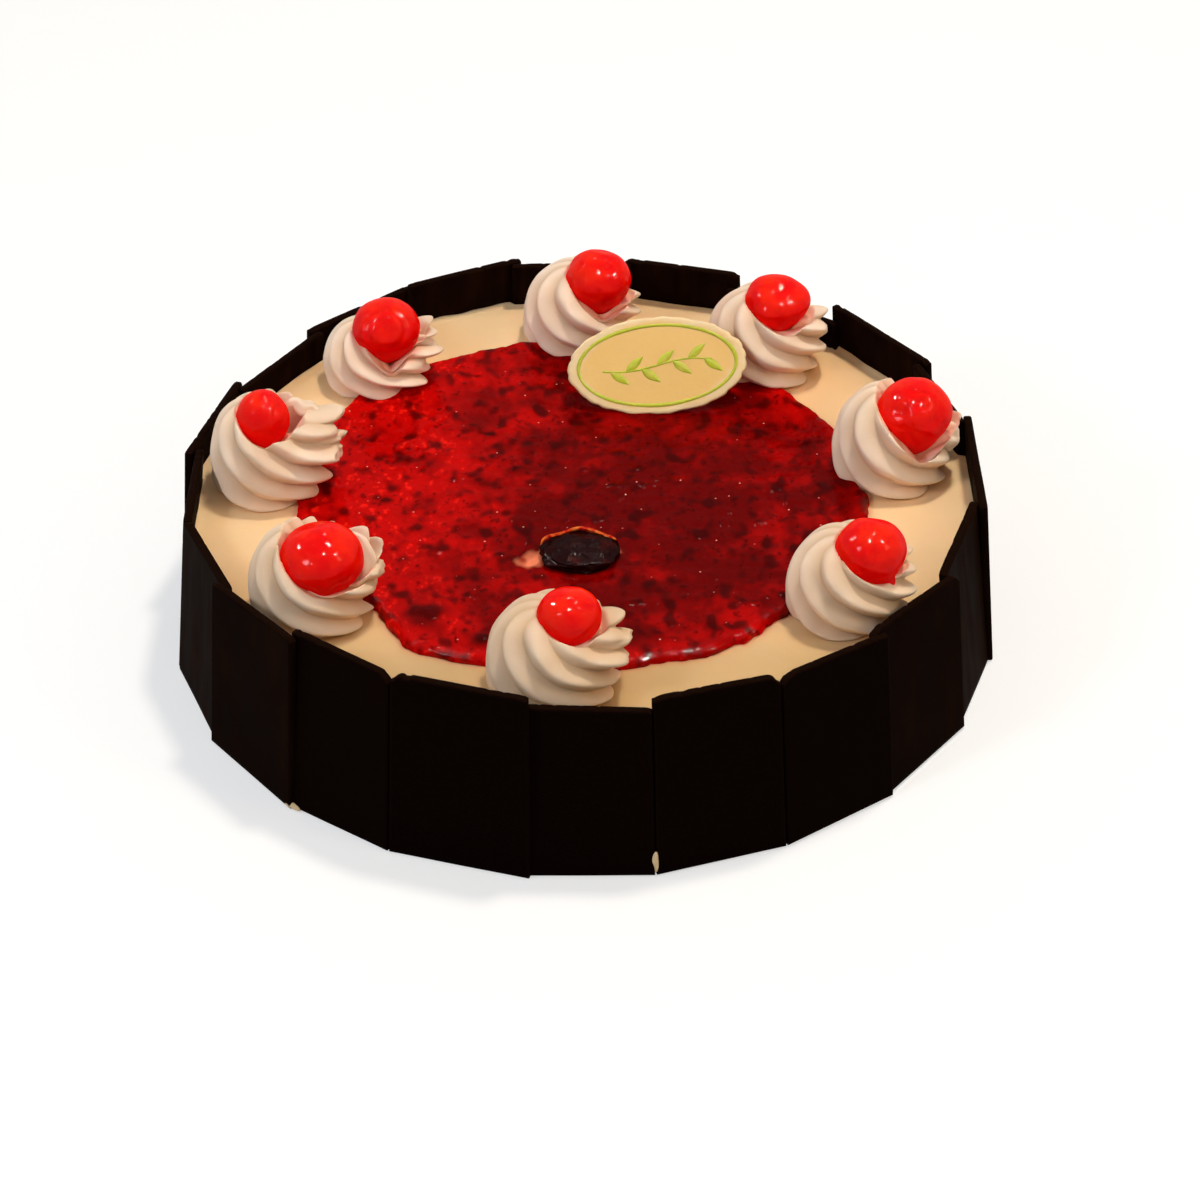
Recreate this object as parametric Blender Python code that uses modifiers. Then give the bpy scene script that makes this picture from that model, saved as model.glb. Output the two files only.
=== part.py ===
"""Black forest cake: an iced round cake in a collar of dark chocolate panels.

A red fruit glaze lies on the icing, eight piped rosettes with candied cherries stand in a
ring round it, and a dark cherry and an oval white chocolate plaque sit in the glaze.

Sizes are in millimetres at the top of the file and are turned into metres when geometry is
made. The origin is the middle of the cake's underside, +Z is up and +Y is the back.
"""

import math
from collections import namedtuple

import bmesh
import bpy
from mathutils import Euler, Matrix, Vector

MM = 0.001
GAP = 0.3  # clear space between pieces that touch on the real cake

# Iced cake: a solid that narrows slightly upwards
ICING_TOP = 37.5
ICING_BASE_RADIUS = 103.2
ICING_TOP_RADIUS = 99.4
ICING_EDGE_ROUND = 2.0
ICING_SIDES = 60

# Collar of flat chocolate panels, leaning inwards
COLLAR_BASE_RADIUS = 109.6
COLLAR_TOP_RADIUS = 104.5
COLLAR_HEIGHT = 49.1
PANEL_THICK = 2.2
PANEL_EDGE_ROUND = 0.3
LAP_REACH = 1.8  # how far an outer panel runs past its seam
BUTT_CLEAR = 0.6  # how far a panel stops short of a seam where two meet edge to edge

# lap says which panel lies outside at the panel's first seam, seen from above:
# 1 the panel itself, -1 the one before it (clockwise), 0 where both meet edge to edge.
Panel = namedtuple("Panel", "seam_deg lap first_height last_height")
PANELS = (
    Panel(-149.0, 1, 48.5, 50.0),
    Panel(-132.5, -1, 50.5, 50.5),
    Panel(-115.5, 0, 51.0, 51.5),
    Panel(-97.5, -1, 47.4, 46.8),
    Panel(-80.0, 0, 50.0, 49.2),
    Panel(-62.0, 0, 48.4, 48.0),
    Panel(-45.5, -1, 48.4, 47.0),
    Panel(-27.5, -1, 47.5, 48.5),
    Panel(-9.5, 1, 48.5, 48.5),
    Panel(12.0, -1, 49.0, 49.5),
    Panel(28.0, 1, 50.5, 50.0),
    Panel(47.5, -1, 46.0, 46.0),
    Panel(67.0, 1, 50.0, 50.0),
    Panel(83.5, -1, 50.0, 50.5),
    Panel(102.0, 1, 51.0, 50.5),
    Panel(119.5, 1, 48.5, 46.5),
    Panel(136.5, -1, 46.5, 45.5),
    Panel(155.5, 1, 46.0, 46.0),
    Panel(173.5, -1, 46.0, 46.5),
    Panel(192.5, 0, 46.5, 47.0),
)

# Fruit glaze: a thin pool with a softly wavy rim
GLAZE_RADIUS = 75.5
GLAZE_THICK = 1.6
GLAZE_EDGE_ROUND = 0.7
GLAZE_SIDES = 60
GLAZE_WAVES = ((1, 2.0, 130), (2, 1.4, 115), (3, 0.9, 10), (7, 0.7, 40), (13, 0.5, 75))

# Rosettes: ridged domes of cream, twisted anticlockwise from the tip outwards
RIDGES = 12
RIDGE_DEPTH = 2.4
SIDES_PER_RIDGE = 4
DOME_RINGS = 7
FOOTPRINT_SIDES = 24
DOME_TUCK_DEG = 104  # the dome's profile runs past its widest point by 14 degrees
TWIST_DEG = 115
TIP_SHIFT = (3.5, -1.5)  # the tips lean to the right and the front

# cherry_shift is from the rosette's middle; cherry_level is the cherry's middle above the base
Rosette = namedtuple(
    "Rosette",
    "name azimuth_deg reach radius height tail cherry_shift cherry_level cherry_wide cherry_high",
)
ROSETTES = (
    Rosette("back", 91.5, 83.0, 16.0, 23.0, 1.0, (5.4, -2.2), 56.0, 18.9, 18.8),
    Rosette("back_right", 53.5, 83.0, 16.0, 24.5, 1.5, (3.3, -1.6), 58.0, 18.4, 15.7),
    Rosette("right", 9.5, 83.0, 15.8, 26.0, 1.5, (5.0, -1.6), 56.5, 20.4, 19.3),
    Rosette("front_right", -36.0, 83.0, 15.8, 23.0, 1.0, (5.0, -2.1), 56.5, 18.3, 17.3),
    Rosette("front", -94.0, 80.2, 16.8, 24.0, 2.0, (3.7, -1.2), 58.3, 16.1, 14.6),
    Rosette("front_left", -143.5, 83.0, 16.0, 25.0, 2.5, (2.8, -2.6), 55.0, 21.5, 18.3),
    Rosette("left", 174.0, 82.6, 16.2, 26.0, 3.5, (-1.6, -1.5), 58.4, 14.4, 18.1),
    Rosette("back_left", 133.5, 83.5, 15.0, 18.5, 3.5, (2.7, -2.1), 54.8, 19.1, 16.9),
)
CHERRY_SIDES = 14
CHERRY_RINGS = 8
CHERRY_PIT = 0.16  # depth of the stem hollow, as a share of the radius
CHERRY_PIT_DEG = 24

# Dark cherry, half sunk in the glaze
DARK_CHERRY_AT = (-0.5, -28.5)
DARK_CHERRY_HALF_SIZE = (10.5, 8.4, 5.0)
DARK_CHERRY_RISE = 1.0  # its widest level above the icing
DARK_CHERRY_TURN_DEG = -8

# White chocolate plaque, standing in the glaze and leaning back
PLAQUE_AT = (19.5, 48.0)
PLAQUE_HALF_WIDTH = 25.0
PLAQUE_HALF_HEIGHT = 13.8
PLAQUE_THICK = 2.0
PLAQUE_TILT_DEG = 50
PLAQUE_TURN_DEG = 3.5
PLAQUE_SIDES = 54
PLAQUE_SCALLOPS = 18
PLAQUE_SCALLOP_DEPTH = 0.3

# material: base colour (linear), roughness, coat
FINISHES = {
    "icing": ((0.86, 0.69, 0.50), 0.55, 0.0),
    "piped_cream": ((0.88, 0.72, 0.54), 0.50, 0.0),
    "dark_chocolate": ((0.016, 0.008, 0.005), 0.38, 0.0),
    "fruit_glaze": ((0.33, 0.004, 0.006), 0.12, 1.0),
    "candied_cherry": ((0.80, 0.020, 0.010), 0.12, 1.0),
    "dark_cherry": ((0.030, 0.002, 0.004), 0.12, 1.0),
    "white_chocolate": ((0.82, 0.60, 0.28), 0.45, 0.0),
}


# ---------------------------------------------------------------- scene and object helpers

def clear_scene():
    for scene_object in list(bpy.data.objects):
        bpy.data.objects.remove(scene_object, do_unlink=True)


def new_collection(name):
    collection = bpy.data.collections.new(name)
    bpy.context.scene.collection.children.link(collection)
    return collection


def make_material(name):
    colour, roughness, coat = FINISHES[name]
    material = bpy.data.materials.new(name)
    material.use_nodes = True
    shader = material.node_tree.nodes["Principled BSDF"]
    shader.inputs["Base Color"].default_value = (*colour, 1.0)
    shader.inputs["Roughness"].default_value = roughness
    shader.inputs["Metallic"].default_value = 0.0
    shader.inputs["Coat Weight"].default_value = coat
    return material


def object_from_bmesh(name, shape, collection, material=None):
    """Turn a shape built in millimetres into a smooth-shaded object in metres."""
    bmesh.ops.scale(shape, vec=Vector((MM, MM, MM)), verts=shape.verts)
    bmesh.ops.recalc_face_normals(shape, faces=shape.faces)
    mesh = bpy.data.meshes.new(name)
    shape.to_mesh(mesh)
    shape.free()
    mesh.shade_smooth()
    mesh.set_sharp_from_angle(angle=math.radians(40))
    piece = bpy.data.objects.new(name, mesh)
    collection.objects.link(piece)
    if material:
        mesh.materials.append(material)
    return piece


def mark_as_cutter(piece):
    piece.hide_render = True
    piece.display_type = "WIRE"


def cut(piece, cutter):
    boolean = piece.modifiers.new("cut_" + cutter.name, "BOOLEAN")
    boolean.operation = "DIFFERENCE"
    boolean.solver = "EXACT"
    boolean.object = cutter


def round_edges(piece, width):
    bevel = piece.modifiers.new("rounded_edges", "BEVEL")
    bevel.width = width * MM
    bevel.segments = 1
    bevel.limit_method = "ANGLE"
    bevel.angle_limit = math.radians(50)


def on_circle(radius, degrees, height=0.0):
    angle = math.radians(degrees)
    return Vector((radius * math.cos(angle), radius * math.sin(angle), height))


# ---------------------------------------------------------------- iced cake

def build_cake(collection, material):
    """The iced cake as one turned solid with a rounded top edge."""
    edge = [
        (
            ICING_TOP_RADIUS - ICING_EDGE_ROUND * (1 - math.sin(math.radians(angle))),
            ICING_TOP - ICING_EDGE_ROUND * (1 - math.cos(math.radians(angle))),
        )
        for angle in (0, 45, 90)
    ]
    profile = [(0.0, ICING_TOP)] + edge + [(ICING_BASE_RADIUS, 0.0), (0.0, 0.0)]
    points = [(radius * MM, 0.0, height * MM) for radius, height in profile]
    lines = [(i, i + 1) for i in range(len(points) - 1)]
    mesh = bpy.data.meshes.new("cake")
    mesh.from_pydata(points, lines, [])
    mesh.materials.append(material)
    cake = bpy.data.objects.new("cake", mesh)
    collection.objects.link(cake)
    turn = cake.modifiers.new("turn", "SCREW")
    turn.steps = ICING_SIDES
    turn.render_steps = ICING_SIDES
    turn.use_merge_vertices = True
    turn.merge_threshold = 0.00001
    turn.use_smooth_shade = True


# ---------------------------------------------------------------- chocolate collar

def collar_point(degrees, height, outwards):
    radius = COLLAR_BASE_RADIUS
    radius += (COLLAR_TOP_RADIUS - COLLAR_BASE_RADIUS) * height / COLLAR_HEIGHT
    return on_circle(radius + outwards, degrees, height)


def seam_end(lap, is_outer):
    """How far a panel's end lies outwards, and how far it runs past the seam."""
    if lap == 0:
        return 0.0, -BUTT_CLEAR
    half_step = (PANEL_THICK + GAP + 0.1) / 2
    if is_outer:
        return half_step, LAP_REACH
    return -half_step, 0.0


def build_panels(collection, material):
    """Each panel is a box whose corners stand on the collar's cone at its two seams."""
    for index, panel in enumerate(PANELS):
        following = PANELS[(index + 1) % len(PANELS)]
        last_deg = following.seam_deg + (0 if following.seam_deg > panel.seam_deg else 360)
        first_out, first_reach = seam_end(panel.lap, panel.lap == 1)
        last_out, last_reach = seam_end(following.lap, following.lap == -1)
        per_mm = math.degrees(1 / COLLAR_BASE_RADIUS)
        first_deg = panel.seam_deg - first_reach * per_mm
        last_deg = last_deg + last_reach * per_mm
        first_low = collar_point(first_deg, 0.0, first_out)
        last_low = collar_point(last_deg, 0.0, last_out)
        first_high = collar_point(first_deg, panel.first_height, first_out)
        last_high = collar_point(last_deg, panel.last_height, last_out)
        inwards = (first_high - first_low).cross(last_low - first_low).normalized()
        inwards.z = 0.0
        inwards *= PANEL_THICK / inwards.length

        shape = bmesh.new()
        bmesh.ops.create_cube(shape, size=2.0)
        for vertex in shape.verts:
            at_last, at_back, at_top = (side > 0 for side in vertex.co)
            if at_top:
                corner = last_high if at_last else first_high
            else:
                corner = last_low if at_last else first_low
            vertex.co = corner + (inwards if at_back else Vector())
        piece = object_from_bmesh(f"panel_{index + 1:02d}", shape, collection, material)
        round_edges(piece, PANEL_EDGE_ROUND)


# ---------------------------------------------------------------- fruit glaze

def glaze_radius(degrees):
    radius = GLAZE_RADIUS
    for waves, swing, peak_deg in GLAZE_WAVES:
        radius += swing * math.cos(math.radians(waves * (degrees - peak_deg)))
    return radius


def build_glaze(collection, material):
    shape = bmesh.new()
    bmesh.ops.create_cone(
        shape, cap_ends=True, segments=GLAZE_SIDES, radius1=1.0, radius2=1.0, depth=GLAZE_THICK,
    )
    for vertex in shape.verts:
        degrees = math.degrees(math.atan2(vertex.co.y, vertex.co.x))
        level = vertex.co.z + ICING_TOP + GAP + GLAZE_THICK / 2
        vertex.co = on_circle(glaze_radius(degrees), degrees, level)
    glaze = object_from_bmesh("glaze", shape, collection, material)
    round_edges(glaze, GLAZE_EDGE_ROUND)
    return glaze


# ---------------------------------------------------------------- rosettes and cherries

def rosette_point(rosette, around, down):
    """A point of the dome: around is an angle in radians, down runs 0 at the tip to 1."""
    fall = math.radians(DOME_TUCK_DEG) * down
    lowest = math.cos(math.radians(DOME_TUCK_DEG))
    height = rosette.height * (math.cos(fall) - lowest) / (1 - lowest)
    radius = rosette.radius * math.sin(fall)
    ridge_phase = RIDGES * (around - math.radians(TWIST_DEG) * down)
    groove = 1 - abs(math.cos(ridge_phase / 2))
    radius -= RIDGE_DEPTH * groove * math.sin(fall)
    radius += rosette.tail * math.sin(2 * fall) * math.exp(-((around - math.pi) / 0.5) ** 2)
    lean = height / rosette.height
    return Vector((
        radius * -math.cos(around) + TIP_SHIFT[0] * lean,
        radius * -math.sin(around) + TIP_SHIFT[1] * lean,
        height,
    ))


def rosette_middle(rosette):
    return on_circle(rosette.reach, rosette.azimuth_deg, ICING_TOP + GAP)


def build_rosette(rosette, collection, material):
    """A sphere's rings become the dome's rings; the last ring closes the flat underside."""
    middle = rosette_middle(rosette)
    shape = bmesh.new()
    bmesh.ops.create_uvsphere(
        shape, u_segments=RIDGES * SIDES_PER_RIDGE, v_segments=DOME_RINGS, radius=1.0,
    )
    for vertex in shape.verts:
        ring = round(math.acos(max(-1.0, min(1.0, vertex.co.z))) / math.pi * DOME_RINGS)
        if ring == DOME_RINGS:
            vertex.co = middle
            continue
        around = math.atan2(vertex.co.y, vertex.co.x) % (2 * math.pi)
        vertex.co = middle + rosette_point(rosette, around, ring / (DOME_RINGS - 1))
    return object_from_bmesh("rosette_" + rosette.name, shape, collection, material)


def cherry_middle(rosette):
    middle = rosette_middle(rosette) + Vector((*rosette.cherry_shift, 0.0))
    middle.z = rosette.cherry_level
    return middle


def cherry_shape(rosette):
    """A cherry with a stem hollow at its top."""
    shape = bmesh.new()
    bmesh.ops.create_uvsphere(
        shape, u_segments=CHERRY_SIDES, v_segments=CHERRY_RINGS, radius=1.0,
    )
    for vertex in shape.verts:
        from_stem = math.degrees(math.acos(max(-1.0, min(1.0, vertex.co.z))))
        hollow = CHERRY_PIT * math.exp(-((from_stem / CHERRY_PIT_DEG) ** 2))
        vertex.co.x *= rosette.cherry_wide / 2
        vertex.co.y *= rosette.cherry_wide / 2
        vertex.co.z *= rosette.cherry_high / 2 * (1 - hollow)
    bmesh.ops.translate(shape, vec=cherry_middle(rosette), verts=shape.verts)
    return shape


def seat_shape(rosette):
    """The hollow a cherry sits in: its lower half grown by the gap, open straight upwards."""
    first_ring_above = math.sin(math.pi / 2 - math.pi / CHERRY_RINGS)
    open_top = rosette.height
    shape = bmesh.new()
    bmesh.ops.create_uvsphere(
        shape, u_segments=CHERRY_SIDES, v_segments=CHERRY_RINGS, radius=1.0,
    )
    for vertex in shape.verts:
        above = vertex.co.z > 0.01
        wide = (rosette.cherry_wide / 2 + GAP) / (first_ring_above if above else 1.0)
        vertex.co.x *= wide
        vertex.co.y *= wide
        vertex.co.z = open_top if above else vertex.co.z * (rosette.cherry_high / 2 + GAP)
    bmesh.ops.translate(shape, vec=cherry_middle(rosette), verts=shape.verts)
    return shape


def build_rosettes(collection, cutters, materials):
    for rosette in ROSETTES:
        cream = build_rosette(rosette, collection, materials["piped_cream"])
        cherry = cherry_shape(rosette)
        object_from_bmesh("cherry_" + rosette.name, cherry, collection, materials["candied_cherry"])
        seat = object_from_bmesh("seat_" + rosette.name, seat_shape(rosette), cutters)
        mark_as_cutter(seat)
        cut(cream, seat)


def build_footprints(glaze, cutters):
    """The glaze stops round each rosette's foot."""
    for rosette in ROSETTES:
        middle = rosette_middle(rosette)
        shape = bmesh.new()
        bmesh.ops.create_cone(
            shape,
            cap_ends=True,
            segments=FOOTPRINT_SIDES,
            radius1=rosette.radius + GAP,
            radius2=rosette.radius + GAP,
            depth=4 * GLAZE_THICK,
            matrix=Matrix.Translation(middle),
        )
        footprint = object_from_bmesh("footprint_" + rosette.name, shape, cutters)
        mark_as_cutter(footprint)
        cut(glaze, footprint)


# ---------------------------------------------------------------- pieces set in the glaze

def dark_cherry_shape(extra):
    floor = ICING_TOP + GAP - (2 * extra)
    middle = Vector((*DARK_CHERRY_AT, ICING_TOP + GAP + DARK_CHERRY_RISE))
    turn = Matrix.Rotation(math.radians(DARK_CHERRY_TURN_DEG), 3, "Z")
    shape = bmesh.new()
    bmesh.ops.create_uvsphere(shape, u_segments=16, v_segments=8, radius=1.0)
    for vertex in shape.verts:
        half_size = [half + extra for half in DARK_CHERRY_HALF_SIZE]
        point = Vector([side * half for side, half in zip(vertex.co, half_size)])
        vertex.co = turn @ point + middle
        vertex.co.z = max(vertex.co.z, floor)
    return shape


def build_dark_cherry(glaze, collection, cutters, material):
    object_from_bmesh("dark_cherry", dark_cherry_shape(0.0), collection, material)
    hollow = object_from_bmesh("hollow_dark_cherry", dark_cherry_shape(GAP), cutters)
    mark_as_cutter(hollow)
    cut(glaze, hollow)


def plaque_shape(extra):
    """A scalloped oval plate, tilted back with its lower edge just above the icing."""
    tilt = math.radians(PLAQUE_TILT_DEG)
    rise = PLAQUE_HALF_HEIGHT * math.sin(tilt) + PLAQUE_THICK / 2 * math.cos(tilt)
    middle = Vector((*PLAQUE_AT, ICING_TOP + GAP + rise))
    turn = Euler((0.0, 0.0, math.radians(PLAQUE_TURN_DEG))).to_matrix()
    lean = Euler((tilt, 0.0, 0.0)).to_matrix()
    shape = bmesh.new()
    bmesh.ops.create_cone(
        shape, cap_ends=True, segments=PLAQUE_SIDES, radius1=1.0, radius2=1.0, depth=1.0,
    )
    for vertex in shape.verts:
        angle = math.atan2(vertex.co.y, vertex.co.x)
        scallop = PLAQUE_SCALLOP_DEPTH * (math.cos(PLAQUE_SCALLOPS * angle) - 1) / 2
        point = Vector((
            (PLAQUE_HALF_WIDTH + scallop + extra) * math.cos(angle),
            (PLAQUE_HALF_HEIGHT + scallop + extra) * math.sin(angle),
            (PLAQUE_THICK + 2 * extra) * vertex.co.z,
        ))
        vertex.co = lean @ (turn @ point) + middle
    return shape


def build_plaque(glaze, collection, cutters, material):
    object_from_bmesh("plaque", plaque_shape(0.0), collection, material)
    slot = object_from_bmesh("slot_plaque", plaque_shape(GAP), cutters)
    mark_as_cutter(slot)
    cut(glaze, slot)


def main():
    clear_scene()
    cake_parts = new_collection("black_forest_cake")
    cutters = new_collection("cutters")
    materials = {name: make_material(name) for name in FINISHES}

    build_cake(cake_parts, materials["icing"])
    build_panels(cake_parts, materials["dark_chocolate"])
    build_rosettes(cake_parts, cutters, materials)
    glaze = build_glaze(cake_parts, materials["fruit_glaze"])
    build_footprints(glaze, cutters)
    build_dark_cherry(glaze, cake_parts, cutters, materials["dark_cherry"])
    build_plaque(glaze, cake_parts, cutters, materials["white_chocolate"])


main()
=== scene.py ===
"""Black forest cake: the looks, built round the packed model.

Iced cake, dark chocolate collar, red fruit glaze, eight piped rosettes with candied cherries,
a dark cherry bedded in the glaze and an oval white chocolate plaque. Shapes are worked out in
millimetres from the packed model's own nodes and turned into metres when a mesh is made.
"""

import math
from collections import namedtuple

import bpy
import numpy as np
from bpy.props import FloatProperty, FloatVectorProperty, IntProperty, PointerProperty
from mathutils import Matrix, Vector, noise
from mathutils.bvhtree import BVHTree


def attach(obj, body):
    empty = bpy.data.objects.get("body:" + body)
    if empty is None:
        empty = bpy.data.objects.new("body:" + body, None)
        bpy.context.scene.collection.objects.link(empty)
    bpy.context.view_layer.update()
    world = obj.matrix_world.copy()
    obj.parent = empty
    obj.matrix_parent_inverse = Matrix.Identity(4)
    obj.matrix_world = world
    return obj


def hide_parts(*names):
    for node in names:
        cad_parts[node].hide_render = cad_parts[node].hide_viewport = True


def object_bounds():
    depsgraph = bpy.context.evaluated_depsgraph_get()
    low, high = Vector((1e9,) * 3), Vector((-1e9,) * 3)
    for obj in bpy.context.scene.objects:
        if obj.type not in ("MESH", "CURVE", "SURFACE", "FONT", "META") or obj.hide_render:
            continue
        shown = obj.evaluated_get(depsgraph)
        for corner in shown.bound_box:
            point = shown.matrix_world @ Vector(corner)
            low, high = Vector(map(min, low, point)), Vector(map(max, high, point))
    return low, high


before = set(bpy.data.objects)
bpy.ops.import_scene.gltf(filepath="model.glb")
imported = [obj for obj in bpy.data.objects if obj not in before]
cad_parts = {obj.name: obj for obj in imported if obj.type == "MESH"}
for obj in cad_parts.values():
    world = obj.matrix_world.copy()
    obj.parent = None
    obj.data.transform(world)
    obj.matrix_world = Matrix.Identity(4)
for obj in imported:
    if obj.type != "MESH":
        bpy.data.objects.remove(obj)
CAD_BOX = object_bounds()

bl_info = {
    "name": "Black Forest Cake",
    "version": (1, 0, 0),
    "blender": (4, 5, 0),
    "location": "3D View > Sidebar > Cake",
    "description": "Builds an iced cake with a chocolate collar, glaze, rosettes and cherries",
    "category": "Add Mesh",
}

MM = 0.001
BODY = "root"

# What each rosette's piping did. phase turns its ridges. tip is where they meet, from the foot's
# middle. flicks are the ends pulled out of the ridges, each (azimuth, share of the way down,
# reach, width in degrees), and cut is where the nozzle snapped them off: (azimuth, distance past
# the foot's radius). lip is how far up the cherry the cream comes at the front, and notch how much
# higher it is either side of there, both in shares of the cherry's half height. stain is how
# strongly the fruit has coloured the cream round it, and the last field how deep a painted shade
# its cream is given, most on the rosettes at the front of the cake.
Piping = namedtuple("Piping", "name phase tip flicks cut lip notch stain shade")
PIPINGS = (
    Piping(
        "back", 10, (2.0, 1.0), ((-12, 0.52, 1.6, 30), (10, 0.70, 1.2, 26)), (0, 2.4),
        -0.80, 0.34, 0.6, 0.0,
    ),
    Piping(
        "back_right", 24, (1.6, 0.8), ((-6, 0.50, 3.4, 30), (-22, 0.68, 2.6, 26)), (-8, 2.2),
        -0.70, 0.24, 0.3, 0.1,
    ),
    Piping(
        "right", 3, (1.6, 1.2), ((-4, 0.48, 4.0, 30), (-20, 0.66, 2.4, 26)), (-8, 2.4),
        -0.92, 0.60, 0.1, 0.25,
    ),
    Piping(
        "front_right", 16, (1.8, 0.8), ((4, 0.50, 2.2, 28), (-14, 0.68, 1.8, 26)), (0, 1.8),
        -0.62, 0.12, 0.25, 0.6,
    ),
    Piping(
        "front", 7, (1.2, 0.8), ((6, 0.40, 3.6, 28), (-8, 0.58, 4.4, 26)), (-2, 2.6),
        -0.58, 0.10, 0.25, 1.0,
    ),
    Piping(
        "front_left", 20, (0.4, 1.4), ((8, 0.42, 5.2, 28), (-8, 0.60, 4.6, 24)), (0, 3.0),
        -0.60, 0.10, 0.3, 0.7,
    ),
    Piping(
        "left", 12, (-0.6, 0.8),
        ((2, 0.42, 7.4, 28), (-14, 0.62, 7.0, 26), (-34, 0.8, 2.6, 18)), (-6, 4.2),
        -0.85, 0.25, 0.9, 0.3,
    ),
    Piping(
        "back_left", 28, (0.6, 0.8),
        ((12, 0.38, 5.4, 20), (-10, 0.60, 4.6, 20), (-34, 0.8, 2.6, 18)), (5, 5.4),
        -0.98, 0.62, 0.7, 0.1,
    ),
)

# Loose curls of cream beside a cherry: points from the cherry's middle, each (right, back,
# up, radius) in millimetres.
CURLS = {
    "front_left": (
        (5.5, 4.5, 1.0, 0.9), (7.2, 4.6, 3.4, 1.3), (9.8, 3.2, 2.6, 1.6), (11.2, 1.6, -0.6, 1.8),
        (11.2, 0.2, -5.0, 2.2), (10.0, -1.0, -9.0, 2.4),
    ),
    "left": (
        (5.5, 3.0, 2.6, 1.0), (7.8, 4.6, 2.4, 1.5), (10.0, 3.6, 1.0, 1.7), (12.2, 4.6, 0.2, 1.6),
        (14.0, 3.4, -1.8, 1.7), (15.2, 3.6, -4.6, 2.0), (14.0, 2.6, -8.0, 2.4),
    ),
    "right": (
        (6.0, 0.0, -1.6, 0.9), (8.2, -0.6, -2.0, 1.3), (10.0, -0.2, -3.4, 1.5),
        (10.0, -0.4, -6.4, 1.9), (8.0, -0.6, -9.5, 2.2),
    ),
    "back_left": (
        (6.5, 1.5, -2.6, 0.9), (8.8, 1.0, -3.0, 1.3), (11.4, 1.6, -4.6, 1.5),
        (12.4, 0.6, -7.5, 2.0),
    ),
}

# How each cherry is misshapen: taper narrows it downwards, wrinkle is its relief, and marks are
# dents, each (azimuth, elevation, depth as a share of the radius, width and ring radius in
# degrees). A depth below 0 is a bulge, and a mark with a ring radius is a round crease.
Fruit = namedtuple("Fruit", "name taper wrinkle marks")
FRUITS = (
    Fruit("back", 0.34, 0.030, (
        (60, 60, 0.08, 26, 0), (-150, 10, 0.05, 14, 0), (-60, 50, 0.04, 10, 0),
        (-20, 35, -0.06, 22, 0),
    )),
    Fruit("back_right", 0.36, 0.032, (
        (-90, 66, 0.13, 24, 0), (150, 40, -0.07, 26, 0), (-10, 25, -0.08, 26, 0),
        (-100, 20, 0.05, 12, 0), (-60, -10, 0.05, 14, 0),
    )),
    Fruit("right", 0.30, 0.040, (
        (-120, 35, 0.07, 12, 0), (-85, 52, 0.08, 11, 0), (-60, 20, 0.07, 12, 0),
        (-105, 0, 0.06, 14, 0), (-20, 20, -0.05, 20, 0), (-150, 10, -0.05, 18, 0),
    )),
    Fruit("front_right", 0.06, 0.018, (
        (80, 50, 0.08, 24, 0), (-48, -38, -0.24, 9, 0), (-80, 30, 0.03, 7, 0), (-70, 8, 0.03, 6, 0),
    )),
    Fruit("front", 0.05, 0.014, ((90, 70, 0.06, 24, 0), (-70, 40, 0.03, 9, 0))),
    Fruit("front_left", 0.04, 0.022, (
        (120, 65, 0.08, 26, 0), (-60, -25, 0.05, 10, 0), (-110, -28, 0.05, 12, 0),
        (-85, -30, -0.04, 10, 0),
    )),
    Fruit("left", 0.10, 0.014, ((20, 40, 0.05, 22, 0), (-30, 20, 0.04, 5, 24))),
    Fruit("back_left", 0.28, 0.022, ((-84, 34, 0.055, 5, 34), (-84, 34, 0.05, 20, 0))),
)


# ---------------------------------------------------------------- settings

def tone(red, green, blue):
    """A display colour from 0 to 255 as the linear colour that shaders work in."""
    def linear(value):
        share = value / 255
        return share / 12.92 if share <= 0.04045 else ((share + 0.055) / 1.055) ** 2.4
    return (linear(red), linear(green), linear(blue))


def colour_setting(name, description, default):
    return FloatVectorProperty(
        name=name, description=description, subtype="COLOR", min=0, max=1, default=default,
    )


def size_setting(name, description, default):
    """A length in millimetres."""
    return FloatProperty(name=name, description=description, default=default, min=0)


class CreamSettings(bpy.types.PropertyGroup):
    """Whipped cream of the icing and the rosettes."""

    icing: colour_setting("Icing", "Colour of the smoothed icing", tone(250, 211, 163))
    piped: colour_setting("Piped cream", "Colour of the rosettes", tone(250, 226, 204))
    # Painted shade: the colour mixed into the rosettes down in their grooves.
    fold: colour_setting("Fold", "Colour down in the rosettes' grooves", tone(212, 172, 126))
    # Painted shade: the colour that the icing and the rosettes at the front are mixed towards,
    # deeper as if less lit.
    shade: colour_setting("Shade", "Colour of the deeper cream at the front", tone(208, 172, 120))
    stain: colour_setting("Stain", "Colour of cream stained by the fruit", tone(240, 130, 100))
    ridges: IntProperty(name="Ridges", description="Ridges round a rosette", default=10, min=5)
    twist: FloatProperty(
        name="Twist",
        description="How far a ridge turns from the tip to the foot",
        default=math.radians(118),
        subtype="ANGLE",
    )
    groove: size_setting("Groove", "Depth of the grooves between ridges, in mm", 3.3)
    ripple: size_setting("Ripple", "Height of the icing's ripples, in mm", 0.16)


class ChocolateSettings(bpy.types.PropertyGroup):
    """Dark chocolate of the collar."""

    face: colour_setting("Face", "Colour of the panels", tone(13, 5, 3))
    # Painted sheen: the colour of the streaks, shown only on the panels that face sideways, as
    # light glancing off them.
    sheen: colour_setting("Sheen", "Colour of the streaks", tone(38, 20, 9))
    edge: colour_setting("Edge", "Colour of the snapped edges", tone(24, 11, 6))
    chip: size_setting("Chips", "Depth of the chips in the top edges, in mm", 0.8)


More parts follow.
